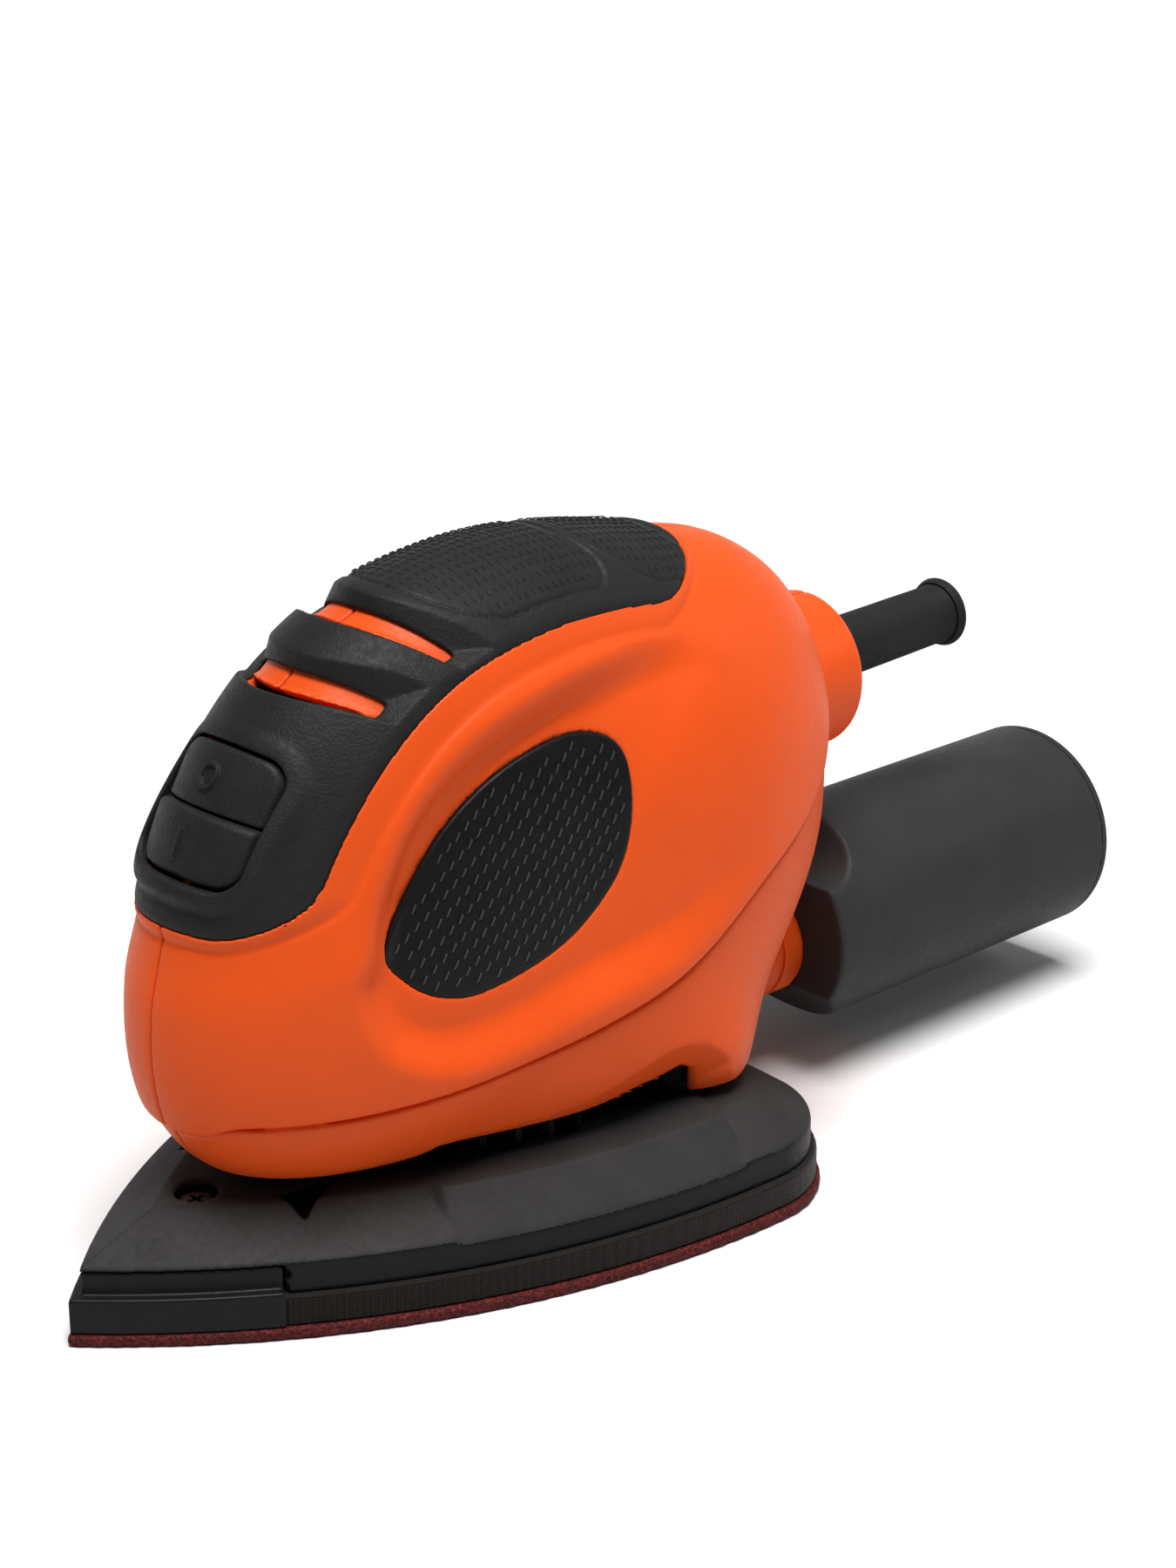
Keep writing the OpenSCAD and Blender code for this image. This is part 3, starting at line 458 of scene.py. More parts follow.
def housing_half_field(g):
    """The left half: a shell with bosses and ribs, cut out for what it holds and for the vents."""
    x, y, z = g.x, g.y, g.z
    skin = g.skin()
    u = arc_at(ridge_angle(x, z))
    body = outer_body(g, skin, u)
    body = smin(body, boss_body(x, y, z), 1.5)
    pressed = skin + scoop_depth(x, z)
    shell = np.maximum(body, -(pressed + WALL + 0.4 + vent_backing(u, y)))
    shell = np.minimum(shell, np.minimum(screw_bosses(g, pressed), motor_ribs(g, pressed)))
    shell = smax(shell, below_line(HEM_LINE, x, z), 1.4)
    cap_pocket = np.maximum(cap_edge(u, y) + 0.1, -(skin + pocket_depth(u, y)))
    grip_pocket = np.maximum(loop_distance(GRIP, x, z) + 0.1, -(pressed + INSERT_T + 0.1))
    window_room, window_depth = 2.2, 9
    window = np.maximum(paddle_edge(u, y, window_room), -(skin + window_depth))
    shell = smax(shell, -np.minimum(cap_pocket, window), 0.45)
    shell = np.maximum(shell, -np.where(y < -5, grip_pocket, EMPTY))
    for vent in VENTS:
        slit = crescent(u - 1.9, y, vent, 0.7, vent[2] - 1.5)
        shell = np.maximum(shell, -np.maximum(slit, -(skin + 8)))
    shell = np.maximum(shell, -np.maximum(sleeve_distance(x, y, z, SLEEVE_R + 0.25), BOSS_START - x))
    shell = np.maximum(shell, -np.maximum(rod(y, z, (0, PORT_Z), PORT_R + 0.06), 30 - x))
    return smax(shell, y + 0.08, 0.5)


def make_housing():
    """Both halves; the right one is the left one mirrored, with wells for the screw heads."""
    g = Grid((-69, -44, 19), (92, 0.4, 119), 0.42)
    half = housing_half_field(g)
    left = field_piece("housing_left_shell", g, half, 0.5, 2)
    wells = np.minimum.reduce([rod(g.x, g.z, place, SCREW_HEAD_R) for place in SCREWS])
    half = np.maximum(half, -np.maximum(wells, g.y + SCREW_HEAD_Y))
    right = field_piece("housing_right_shell", g, half, 0.5, 2, mirror=True)
    return left, right


# ---------- Soft cap, side grips and switch ----------

# Grip zones of the cap: start and end along the ridge, half width, corner radius
ZONES = [(3.0, 25.5, 18.0, 9.0), (27.5, 64.0, 18.0, 8.0)]
ZONE_BOW = 7


def zone_edge(u, y, zone):
    """Signed distance to a grip zone, whose ends bow across the ridge."""
    low, high, half, corner = zone
    return round_box(u + ZONE_BOW * (y / half) ** 2, y, low, high, half, corner)


def cap_field(g):
    """The soft cap: grooved grip zones, bevelled vents, a rim and a collar around the switch."""
    x, y, z = g.x, g.y, g.z
    skin = g.skin()
    u = arc_at(ridge_angle(x, z))
    edge = cap_edge(u, y)
    top = skin.copy()
    # A raised rim around the switch, higher at its low side
    rim = paddle_edge(u, y, 3.4)
    rise = 0.35 + 1.1 * smoothstep(arc_at(SWITCH_TOP) - 4, arc_at(SWITCH_LOW), u)
    top = top - rise * (1 - smoothstep(-1.0, 1.4, rim))
    groove_depth, groove_half, zone_depth = 0.5, 0.32, 0.15
    for zone in ZONES:
        line = zone_edge(u, y, zone)
        top = top + groove_depth * np.exp(-(line / groove_half) ** 2)
        top = top + zone_depth * smoothstep(0.4, -0.4, line)
    under = skin + CAP_T
    for vent in VENTS:
        recess = vent_recess(u, y, vent)
        top = top + recess
        under = under + UNDERSIDE_SHARE * recess
    body = smax(top, edge, 1.3)
    body = smax(np.maximum(body, -under), -vent_slots(u, y), 0.5)
    body = smax(body, -paddle_edge(u, y, 0.55), 0.7)
    collar = np.maximum(paddle_edge(u, y, 2.1), -paddle_edge(u, y, 0.95))
    body = np.minimum(body, np.maximum(collar, np.maximum(skin + 1.2, -(skin + 6))))
    # Room under the lip for the rocker's low end to swing through
    swing = np.maximum(rod(x, z, ROCKER_PIN, ROCKER_SWING + 0.35), np.abs(y) - SWITCH_HALF_W - 0.4)
    return np.maximum(body, -np.maximum(swing, skin + 0.6))


def rocker_field(g):
    """Two pads at an angle on one web, with a hub on the pin under them."""
    x, y, z = g.x, g.y, g.z
    skin = g.skin()
    u = arc_at(ridge_angle(x, z))
    split = arc_at(SWITCH_SPLIT)
    low_end = arc_at(SWITCH_LOW)
    edge = paddle_edge(u, y, 0.0)
    off_level = 0.15 + 0.5 * smoothstep(split - 10, split, u)
    on_level = -0.75 + 0.45 * smoothstep(split, low_end, u)
    off_pad = smax(skin + off_level - 0.4, u - split + 0.2, 0.5)
    on_pad = smax(skin + on_level, split + 0.2 - u, 1.6)
    pads = np.minimum(off_pad, on_pad)
    web = np.maximum(skin + 1.6, edge)
    body = smax(np.minimum(pads, web), edge, 1.0)
    body = np.maximum(body, -(skin + 5.5))
    body = smax(body, rod(x, z, ROCKER_PIN, ROCKER_SWING), 0.4)
    hub_half, pin_x, pin_z = 7, *ROCKER_PIN
    hub = np.maximum(rod(x, z, ROCKER_PIN, 3.6), np.abs(y) - hub_half)
    arm = np.maximum(np.maximum(np.abs(y) - hub_half, np.abs(z - pin_z) - 2),
                     np.maximum(x - pin_x, pin_x - 9 - x))
    body = np.minimum(body, np.minimum(hub, arm))
    body = np.maximum(body, -rod(x, z, ROCKER_PIN, 1.55))
    # The off and on signs: a ring on the upper pad and a bar on the lower one
    ring = np.abs(np.hypot(u - (split + arc_at(SWITCH_TOP)) / 2, y * 1.15) - 2.1) - 0.34
    bar = np.maximum(np.abs(y) - 0.36, np.abs(u - (split + low_end) / 2 - 0.3) - 2.5)
    marks = np.minimum(np.maximum(ring, skin + off_level - 1.0), np.maximum(bar, skin + on_level - 0.65))
    return np.minimum(body, np.maximum(marks, -(skin + 2)))


def grip_field(g):
    """A side grip: a thin insert, flush with the pressed-in flank."""
    skin = g.skin()
    press = scoop_depth(g.x, g.z)
    edge = loop_distance(GRIP, g.x, g.z)
    return np.maximum(smax(skin + press, edge, 0.5), -(skin + press + INSERT_T))


def surface_tree(piece):
    mesh = piece.data
    return BVHTree.FromPolygons([v.co for v in mesh.vertices], [p.vertices[:] for p in mesh.polygons])


def add_stud(points, faces, centre, normal, along, size, height):
    """A small block with sloping sides, set a little into a surface."""
    across = normal.cross(along).normalized()
    along = across.cross(normal).normalized()
    base = len(points)
    for level, share in ((-0.12, 1.0), (height, 0.62)):
        for su, sv in ((-1, -1), (1, -1), (1, 1), (-1, 1)):
            foot = centre + normal * level
            points.append(foot + along * su * size[0] / 2 * share + across * sv * size[1] / 2 * share)
    for a, b in ((0, 1), (1, 2), (2, 3), (3, 0)):
        faces.append((base + a, base + b, base + 4 + b, base + 4 + a))
    faces.append((base + 4, base + 5, base + 6, base + 7))
    faces.append((base + 3, base + 2, base + 1, base))


def faces_piece(name, points, faces):
    mesh = bpy.data.meshes.new(name)
    mesh.from_pydata([p * MM for p in points], [], faces)
    mesh.update()
    return add_object(name, mesh)


def grip_studs(grip, side):
    """Rows of small slanted ribs over a side grip."""
    tree = surface_tree(grip)
    points, faces = [], []
    middle, row, column = np.array([-13.0, 72.0]), np.array([1.85, 1.45]), np.array([1.85, -1.45])
    reach, clear_edge, start_y = 22, 1.6, 60
    slant, rib_size, rib_height = Vector((0.53, 0, 0.85)), (1.9, 0.36), 0.25
    for i in range(-reach, reach + 1):
        for j in range(-reach, reach + 1):
            x, z = middle + i * row + j * column
            if loop_distance(GRIP, np.array([x]), np.array([z]))[0] > -clear_edge:
                continue
            place, normal = tree.ray_cast(Vector((x, side * start_y, z)) * MM, Vector((0, -side, 0)))[:2]
            if place is not None:
                add_stud(points, faces, place / MM, normal, slant, rib_size, rib_height)
    return faces_piece(grip.name + "_ribs", points, faces)


def cap_studs(cap):
    """Small hooked ribs in the two grip zones of the cap."""
    tree = surface_tree(cap)
    points, faces = [], []
    pitch_u, pitch_y, clear_edge, rib_t, rib_height = 1.75, 2.3, 1.3, 0.42, 0.1
    sideways = Vector((0, 1, 0))
    for zone in ZONES:
        for u in np.arange(zone[0] - 8, zone[1] + 2, pitch_u):
            for k in range(-9, 10):
                y = k * pitch_y
                if zone_edge(np.array([u]), np.array([y]), zone)[0] > -clear_edge:
                    continue
                a = math.radians(angle_at(u))
                out = Vector((math.cos(a), 0, math.sin(a)))
                start = Vector((HUB_X, y, HUB_Z)) + out * 75
                place, normal = tree.ray_cast(start * MM, -out)[:2]
                if place is None:
                    continue
                ahead = Vector((-math.sin(a), 0, math.cos(a)))
                centre = place / MM
                hook = centre + Vector((0, 0.6, 0)) + ahead * 0.5
                add_stud(points, faces, centre, normal, sideways, (1.5, rib_t), rib_height)
                add_stud(points, faces, hook, normal, ahead, (1.0, rib_t), rib_height)
    return faces_piece("cap_grip_ribs", points, faces)


# ---------- Platen, pad, sheet and tip ----------

SIDE_CENTRE, SIDE_R = (33.0, -114.5), 165.0
REAR_CENTRE, REAR_R = (-275.0, 0.0), 330.0
TIP_JOINT, TIP_VERTEX, TIP_HALF = -57.6, -46.0, 22.0
RIM_TOP, PAD_TOP, PLATEN_TOP, SHEET_T = 13.25, 7.5, 19.0, 2.2
POSTS = [(-32.5, 9), (27, 26)]
POST_SOCKET_R, ORBIT_R = 4.05, 1
DUST_HOLES, DUST_HOLE_R = [(-20, 15), (0, 24.5), (20, 15)], 3.5
TIP_SCREW_X = -59.0


def iron_edge(x, y):
    """Signed distance to the iron-shaped outline of the sanding face."""
    side = np.hypot(x - SIDE_CENTRE[0], np.abs(y) - SIDE_CENTRE[1]) - SIDE_R
    rear = np.hypot(x - REAR_CENTRE[0], y - REAR_CENTRE[1]) - REAR_R
    corner = 19.0
    qs, qr = side + corner, rear + corner
    return np.hypot(np.maximum(qs, 0), np.maximum(qr, 0)) + np.minimum(np.maximum(qs, qr), 0) - corner


def ahead_of_joint(x, y, gap):
    """Under 0 in the plan of the diamond tip, which runs back to a vertex."""
    slope = (TIP_VERTEX - TIP_JOINT) / TIP_HALF
    bevel = x + gap - np.maximum(TIP_JOINT, TIP_VERTEX - np.abs(y) * slope)
    return bevel * 0.9


def dust_bores(x, y):
    return np.minimum.reduce([np.hypot(x - hx, np.abs(y) - hy) for hx, hy in DUST_HOLES]) - DUST_HOLE_R


def platen_top(x, y, inset):
    """Height of the platen's top: a raked crown, rounded at the rear, with a raised panel on each side."""
    crown = np.minimum(RIM_TOP + 0.56 * inset, PLATEN_TOP)
    rounded = RIM_TOP + 5.2 * (1 - np.exp(-np.clip(inset, 0, 40) / 7.0))
    behind = smoothstep(32, 44, x)
    crown = crown * (1 - behind) + rounded * behind
    panel = np.minimum(12.2 + 1.05 * inset, PLATEN_TOP + 0.7)
    within = np.abs(x + 3.5 + (np.abs(y) - 38) * 0.25) - 29.0
    share = smoothstep(1.0, -1.0, within) * smoothstep(21, 27, np.abs(y))
    return crown * (1 - share) + panel * share


def platen_field(g):
    """The platen, cut out for the tip, the bearing, the posts, the dust, the port and the tip screw."""
    x, y, z = g.x, g.y, g.z
    side = np.abs(y)
    inset = -(iron_edge(x, y) + 2.1)
    body = smax(np.maximum(-inset, PAD_TOP - z), (z - platen_top(x, y, inset)) * 0.85, 0.7)
    body = np.maximum(body, -np.maximum(ahead_of_joint(x, y, -0.15), z - RIM_TOP + 0.75))
    notch = np.hypot(x - TIP_JOINT, z - 10.8) - 1.5
    notch = np.minimum(notch, np.maximum(np.abs(x - TIP_JOINT) - 0.9, z - 11))
    body = np.maximum(body, -np.maximum(notch, inset - 2.4))
    # The bearing's seat, a wider well over it and a hole under it
    well = np.hypot(x - ORBIT_R, y)
    body = np.maximum(body, -np.maximum(well - 11.05, 10.5 - z))
    body = smax(body, -np.maximum(well - 15.7, 17.5 - z), 0.6)
    body = np.maximum(body, -(well - 7))
    for post_x, post_y in POSTS:
        socket = np.hypot(x - ORBIT_R - post_x, side - post_y) - POST_SOCKET_R
        body = np.maximum(body, -np.maximum(socket, 10 - z))
    body = np.maximum(body, -dust_bores(x, y))
    body = smax(body, -np.maximum(rod(y, z, (0, PORT_Z), PORT_R + 2.4), 34 - x), 0.5)
    screw = np.hypot(x - TIP_SCREW_X, y)
    body = smax(body, -np.maximum(screw - 3.6, 16 - z), 0.5)
    body = np.maximum(body, -(screw - 1.9))
    # A small three-cornered pocket on each side, ahead of the housing
    slant = np.maximum(-(x + 50), (x + 50) * 0.42 + (side - 17.5) * 0.9)
    return smax(body, -np.maximum(np.maximum(10.5 - side, 14.5 - z), slant), 0.4)


def paint_rim_shade(platen):
    """The upright rim wall gets a smooth near-black look, painted shade for a wall that faces sideways; the
    crown over it stays grained.
    """
    platen.data.materials.append(MATERIALS["smooth_black_and_shade"])
    for face in platen.data.polygons:
        if abs(face.normal.z) < 0.42:
            face.material_index = 1


def pad_field(g):
    x, y, z = g.x, g.y, g.z
    layer = np.abs(z - (SHEET_T + PAD_TOP) / 2) - (PAD_TOP - SHEET_T) / 2
    body = smax(iron_edge(x, y) + 0.8, layer, 0.6)
    return np.maximum(np.maximum(body, -ahead_of_joint(x, y, 0.1)), -dust_bores(x, y))


def sheet_field(g):
    """The sanding sheet, with a slightly uneven cut edge."""
    wave = 0.10 * np.sin(g.x * 1.7) * np.sin(g.y * 1.3)
    layer = np.abs(g.z - SHEET_T / 2) - SHEET_T / 2 + 0.01
    body = smax(iron_edge(g.x, g.y) + wave, layer, 0.9)
    return np.maximum(body, -dust_bores(g.x, g.y))


def tip_field(g):
    """The diamond tip: two steps, the upper one set in from the edge."""
    x, y, z = g.x, g.y, g.z
    edge = iron_edge(x, y)
    low = smax(edge + 0.5, z - 8.5, 0.5)
    high = smax(edge + 2.4, z - RIM_TOP + 0.8, 0.5)
    body = np.maximum(np.minimum(low, high), SHEET_T - z)
    body = smax(body, ahead_of_joint(x, y, 0.15), 0.7)
    return np.maximum(body, -(np.hypot(x - TIP_SCREW_X, y) - 1.5))


# ---------- Dust port and canister ----------

CAN_Z, CAN_R, CAN_NECK, CAN_SHOULDER, CAN_END, LID_T = 28.4, 21.25, 77.0, 88.5, 159.4, 2.0
CAN_WALL, SOCKET_DEPTH = 1.8, 20
SCALLOP_X, SCALLOP_Z, SCALLOP_R = 78, 50, 9.8
RAKE_TOP = 18
LATHE_CELLS, CORNER_CELLS = 128, 5


def canister_profile(x, z, grow):
    """The side profile: a raked underside at the neck and a concave shoulder above it."""
    rake = (CAN_SHOULDER - CAN_NECK) / (RAKE_TOP - (CAN_Z - CAN_R - 1))
    front = CAN_NECK + grow + np.maximum(RAKE_TOP - z, 0) * rake - x
    scallop = SCALLOP_R + grow - np.hypot(x - SCALLOP_X, z - SCALLOP_Z)
    shelf = np.maximum(x - (CAN_SHOULDER - 0.7 + grow), SCALLOP_Z - 0.2 - z)
    return np.maximum(front, np.maximum(scallop, -shelf))


def canister_field(g):
    x, y, z = g.x, g.y, g.z
    barrel = rod(y, z, (0, CAN_Z), CAN_R)
    body = smax(smax(barrel, canister_profile(x, z, 0), 0.9), x - (CAN_END - LID_T), 0.2)
    inner = np.maximum(barrel + CAN_WALL, canister_profile(x, z, CAN_WALL))
    body = np.maximum(body, -inner)
    socket = np.maximum(rod(y, z, (0, PORT_Z), PORT_R + 0.08), x - CAN_NECK - SOCKET_DEPTH)
    return np.maximum(body, -socket)


def port_field(g):
    """The dust port: a tube with a ring groove, a seal groove and a latch notch on each side."""
    x, y, z = g.x, g.y, g.z
    start, end, wall = 36, 85, 1.7
    tube = rod(y, z, (0, PORT_Z), PORT_R)
    body = smax(tube, np.maximum(start - x, x - end), 0.5)
    for low, high, depth in ((71.4, 72.4, 0.8), (81, 83, 1.0)):
        groove = np.maximum(np.maximum(low - x, x - high), -(tube + depth))
        body = np.maximum(body, -groove)
    notch = np.maximum(np.abs(x - 58.5) - 2.0, np.maximum(np.abs(z - PORT_Z + 4.5) - 1.6, -(tube + 1.0)))
    body = smax(body, -notch, 0.3)
    return np.maximum(body, -(tube + wall))


def lathe(name, profile, start, tilt=0.0):
    """A solid of revolution about an axis along X from start; profile is [distance, radius], closed."""
    direction = Vector((math.cos(math.radians(tilt)), 0, math.sin(math.radians(tilt))))
    up = Vector((-direction.z, 0, direction.x))
    side = Vector((0, 1, 0))
    points, faces = [], []
    n = len(profile)
    for i in range(LATHE_CELLS):
        turn = 2 * math.pi * i / LATHE_CELLS
        out = up * math.cos(turn) + side * math.sin(turn)
        points += [Vector(start) + direction * d + out * r for d, r in profile]
    for i in range(LATHE_CELLS):
        for k in range(n):
            a, b = i * n, (i + 1) % LATHE_CELLS * n
            faces.append((a + k, a + (k + 1) % n, b + (k + 1) % n, b + k))
    piece = faces_piece(name, points, faces)
    piece.data.shade_smooth()
    piece.data.set_sharp_from_angle(angle=math.radians(35))
    return piece


def arc_corner(d, r, size, begin):
    """Profile points of a rounded corner about [d, r], a quarter turn on from the angle begin."""
    turns = [math.radians(begin + 90 * k / CORNER_CELLS) for k in range(CORNER_CELLS + 1)]
    return [(d + size * math.cos(turn), r + size * math.sin(turn)) for turn in turns]


def make_lid():
    """The canister's rear lid, with the collar that plugs into the canister."""
    rim = 1.1
    profile = [(0, 0.02), (0, 17.75), (-5, 17.75), (-5, 19.35), (0, 19.35), (0, CAN_R - 0.06)]
    profile += arc_corner(0.06, CAN_R - 0.06, 0.06, 180)[::-1]
    profile += arc_corner(LID_T - rim, CAN_R - rim, rim, 0)[::-1]
    profile += [(LID_T, CAN_R - 3), (LID_T - 0.35, CAN_R - 3.6), (LID_T - 0.35, 0.02)]
    return lathe("canister_lid", profile, (CAN_END - LID_T, 0, CAN_Z))


def make_sleeve():
    """The bend sleeve: a slim tube with a flange inside the housing and a rolled lip at its end."""
    length = (SLEEVE_END - SLEEVE_START) / math.cos(math.radians(SLEEVE_TILT))
    profile = [(0, 3.3), (0, 7.2), (7.5, 7.2), (7.5, 6.1)]
    profile += [(14 + 6 * k, 6.08 - 0.03 * k) for k in range(7)]
    profile += [(length - 3.4, 5.82), (length - 2.9, 6.05)]
    profile += arc_corner(length - 2.0, 6.3, 0.6, 180)[::-1]
    profile += arc_corner(length - 1.2, 6.2, 0.7, 0)[::-1][:5]
    profile += [(length - 0.5, 5.0), (length - 0.5, 3.8), (length - 1.0, 3.3)]
    return lathe("cord_bend_sleeve", profile, (SLEEVE_START, 0, SLEEVE_Z), SLEEVE_TILT)


def make_tip_screw():
    """A round screw head with a cross recess, on its shank."""
    g = Grid((TIP_SCREW_X - 4.2, -4.2, 3.8), (TIP_SCREW_X + 4.2, 4.2, 18.4), 0.16)
    r = np.hypot(g.x - TIP_SCREW_X, g.y)
    head = smax(r - 3.0, np.maximum(16 - g.z, g.z - 17.6), 0.7)
    shank = np.maximum(r - 1.45, np.maximum(4.2 - g.z, g.z - 16.2))
    along_x, along_y, arm_half, arm_reach = np.abs(g.x - TIP_SCREW_X), np.abs(g.y), 0.35, 1.7
    cross = np.minimum(np.maximum(along_x - arm_half, along_y - arm_reach),
                       np.maximum(along_y - arm_half, along_x - arm_reach))
    screw = np.maximum(np.minimum(head, shank), -np.maximum(cross, 16.5 - g.z))
    return field_piece("tip_screw_crosshead", g, screw)


# ---------- Materials ----------

def srgb(r, g, b):
    """Linear colour from 0 to 255 screen values."""
    shares = (r / 255, g / 255, b / 255)
    return tuple((v / 12.92 if v <= 0.04045 else ((v + 0.055) / 1.055) ** 2.4) for v in shares)


MATERIALS = {}


class Surface:
    """A procedural material around one Principled shader, kept in MATERIALS under its name."""

    def __init__(self, name, metallic=0.0, specular=0.5, sheen=0.0):
        self.material = bpy.data.materials.new(name)
        MATERIALS[name] = self.material
        self.material.use_nodes = True
        tree = self.material.node_tree
        self.nodes, self.links = tree.nodes, tree.links
        self.shader = self.nodes["Principled BSDF"]
        self.shader.inputs["Metallic"].default_value = metallic
        self.shader.inputs["Specular IOR Level"].default_value = specular
        self.shader.inputs["Sheen Weight"].default_value = sheen
        self.coords = self.nodes.new("ShaderNodeTexCoord").outputs["Object"]
        self.height = None

    def noise(self, size, detail=3.0):
        """Noise with features of about size millimetres."""
        node = self.nodes.new("ShaderNodeTexNoise")
        node.inputs["Scale"].default_value = 1 / (size * MM)
        node.inputs["Detail"].default_value = detail
        self.links.new(self.coords, node.inputs["Vector"])
        return node.outputs["Fac"]

    def cells(self, size, feature="F1"):
        """Distance to the middle of the nearest cell, with cells of about size millimetres."""
        node = self.nodes.new("ShaderNodeTexVoronoi")
        node.feature = feature
        node.inputs["Scale"].default_value = 1 / (size * MM)
        self.links.new(self.coords, node.inputs["Vector"])
        return node.outputs["Distance"]

    def stripes(self, size, axis):
        """Slightly uneven bands across an axis."""
        node = self.nodes.new("ShaderNodeTexWave")
        node.bands_direction = axis
        node.inputs["Scale"].default_value = 1 / (size * MM) / 3.1416
        node.inputs["Distortion"].default_value = 0.4
        node.inputs["Detail"].default_value = 1.0
        self.links.new(self.coords, node.inputs["Vector"])
        return node.outputs["Fac"]

    def math(self, kind, a, b):
        node = self.nodes.new("ShaderNodeMath")
        node.operation = kind
        for socket, value in zip(node.inputs, (a, b)):
            if isinstance(value, (int, float)):
                socket.default_value = value
            else:
                self.links.new(value, socket)
        return node.outputs[0]

    def spread(self, value, low, high):
        """The usual range of a noise, 0.3 to 0.7, stretched to low and high."""
        node = self.nodes.new("ShaderNodeMapRange")
        node.inputs["From Min"].default_value = 0.3
        node.inputs["From Max"].default_value = 0.7
        node.inputs["To Min"].default_value = low
        node.inputs["To Max"].default_value = high
        self.links.new(value, node.inputs["Value"])
        return node.outputs[0]

    def colour(self, value, stops):
        """Base colour from a value through stops of [place, colour]."""
        ramp = self.nodes.new("ShaderNodeValToRGB")
        while len(ramp.color_ramp.elements) < len(stops):
            ramp.color_ramp.elements.new(0.5)
        for element, (place, rgb) in zip(ramp.color_ramp.elements, stops):
            element.position = place
            element.color = (*rgb, 1)
        self.links.new(value, ramp.inputs["Fac"])
        self.links.new(ramp.outputs["Color"], self.shader.inputs["Base Color"])

    def roughness(self, value, low, high):
        self.links.new(self.spread(value, low, high), self.shader.inputs["Roughness"])

    def bump(self, value, depth):
        """Relief of about depth millimetres."""
        node = self.nodes.new("ShaderNodeBump")
        node.inputs["Distance"].default_value = depth * MM
        node.inputs["Strength"].default_value = 1.0
        self.links.new(value, node.inputs["Height"])
        if self.height is not None:
            self.links.new(self.height, node.inputs["Normal"])
        self.height = node.outputs["Normal"]
        self.links.new(self.height, self.shader.inputs["Normal"])


def shades(rgb, low, high):
    return tuple(min(1, c * low) for c in rgb), tuple(min(1, c * high) for c in rgb)


def moulded_plastic(name, rgb, rough, grain, depth, specular=0.4, vary=0.07):
    """Plastic with a fine spark-eroded grain and slight cloudiness."""
    s = Surface(name, specular=specular)
    dark, light = shades(rgb, 1 - vary, 1 + vary)
    s.colour(s.noise(9, 2), [(0.3, dark), (0.7, light)])
    s.roughness(s.noise(grain * 2.5, 2), rough - 0.06, rough + 0.07)
    s.bump(s.noise(grain * 40, 1), depth * 2)
    s.bump(s.noise(grain, 2), depth)


def leather_plastic(name, rgb, rough, grain, depth):
    """Soft overmould with a leather grain of small cells."""
    s = Surface(name, specular=0.3, sheen=0.04)
    pores = s.cells(grain, "SMOOTH_F1")
    dark, light = shades(rgb, 0.82, 1.2)
    s.colour(s.math("ADD", s.math("MULTIPLY", pores, 0.5), s.math("MULTIPLY", s.noise(6, 2), 0.5)),
             [(0.25, dark), (0.7, light)])
    s.roughness(s.noise(grain * 3), rough - 0.07, rough + 0.08)
    s.bump(s.noise(grain * 0.45, 2), depth * 0.5)
    s.bump(pores, depth)


def woven_cloth(name, rgb, thread, depth):
    """Coarse hook-and-loop cloth: crossing threads with fuzz."""
    s = Surface(name, specular=0.2, sheen=0.25)
    across = s.stripes(thread, "Z")
    along = s.math("ADD", s.stripes(thread, "X"), s.stripes(thread, "Y"))
    weave = s.math("MULTIPLY", s.math("ADD", across, s.math("MULTIPLY", along, 0.5)), 0.5)
    dark, light = shades(rgb, 0.45, 1.5)
    s.colour(s.math("ADD", s.math("MULTIPLY", weave, 0.7), s.math("MULTIPLY", s.noise(0.5), 0.3)),
             [(0.25, dark), (0.75, light)])
    s.roughness(s.noise(1.0), 0.8, 0.95)
    s.bump(s.noise(0.3, 3), depth * 0.5)
    s.bump(weave, depth)


def abrasive_grit(name, rgb, grain, depth):
    s = Surface(name, specular=0.4)
    grit = s.cells(grain)
    dark, light = shades(rgb, 0.35, 2.1)
    s.colour(s.math("ADD", s.math("MULTIPLY", grit, 0.6), s.math("MULTIPLY", s.noise(grain * 1.6, 4), 0.45)),
             [(0.25, dark), (0.5, rgb), (0.8, light)])
    s.roughness(s.noise(grain), 0.55, 0.9)
    s.bump(s.noise(grain * 0.6, 3), depth * 0.6)
    s.bump(grit, depth)


def metal(name, rgb, rough, grain=0.5, brushed=None):
    """Metal with fine machining or rolling marks."""
    s = Surface(name, metallic=1.0)
    dark, light = shades(rgb, 0.86, 1.08)
    s.colour(s.noise(3, 4), [(0.3, dark), (0.7, light)])
    s.roughness(s.noise(grain, 4), rough - 0.08, rough + 0.1)
    s.bump(s.stripes(0.35, brushed) if brushed else s.noise(grain, 3), 0.012)


def pressed_paper(name, rgb):
    s = Surface(name, specular=0.2, sheen=0.1)
    dark, light = shades(rgb, 0.86, 1.06)
    s.colour(s.noise(0.8, 5), [(0.3, dark), (0.7, light)])
    s.roughness(s.noise(0.6), 0.8, 0.95)
    s.bump(s.noise(0.35, 4), 0.06)


def glass_fibre_board(name, rgb):
    s = Surface(name, specular=0.6)
    dark, light = shades(rgb, 0.8, 1.15)
    s.colour(s.stripes(1.6, "X"), [(0.45, dark), (0.55, light)])
    s.roughness(s.noise(1.2), 0.3, 0.45)
    s.bump(s.stripes(0.6, "Y"), 0.02)


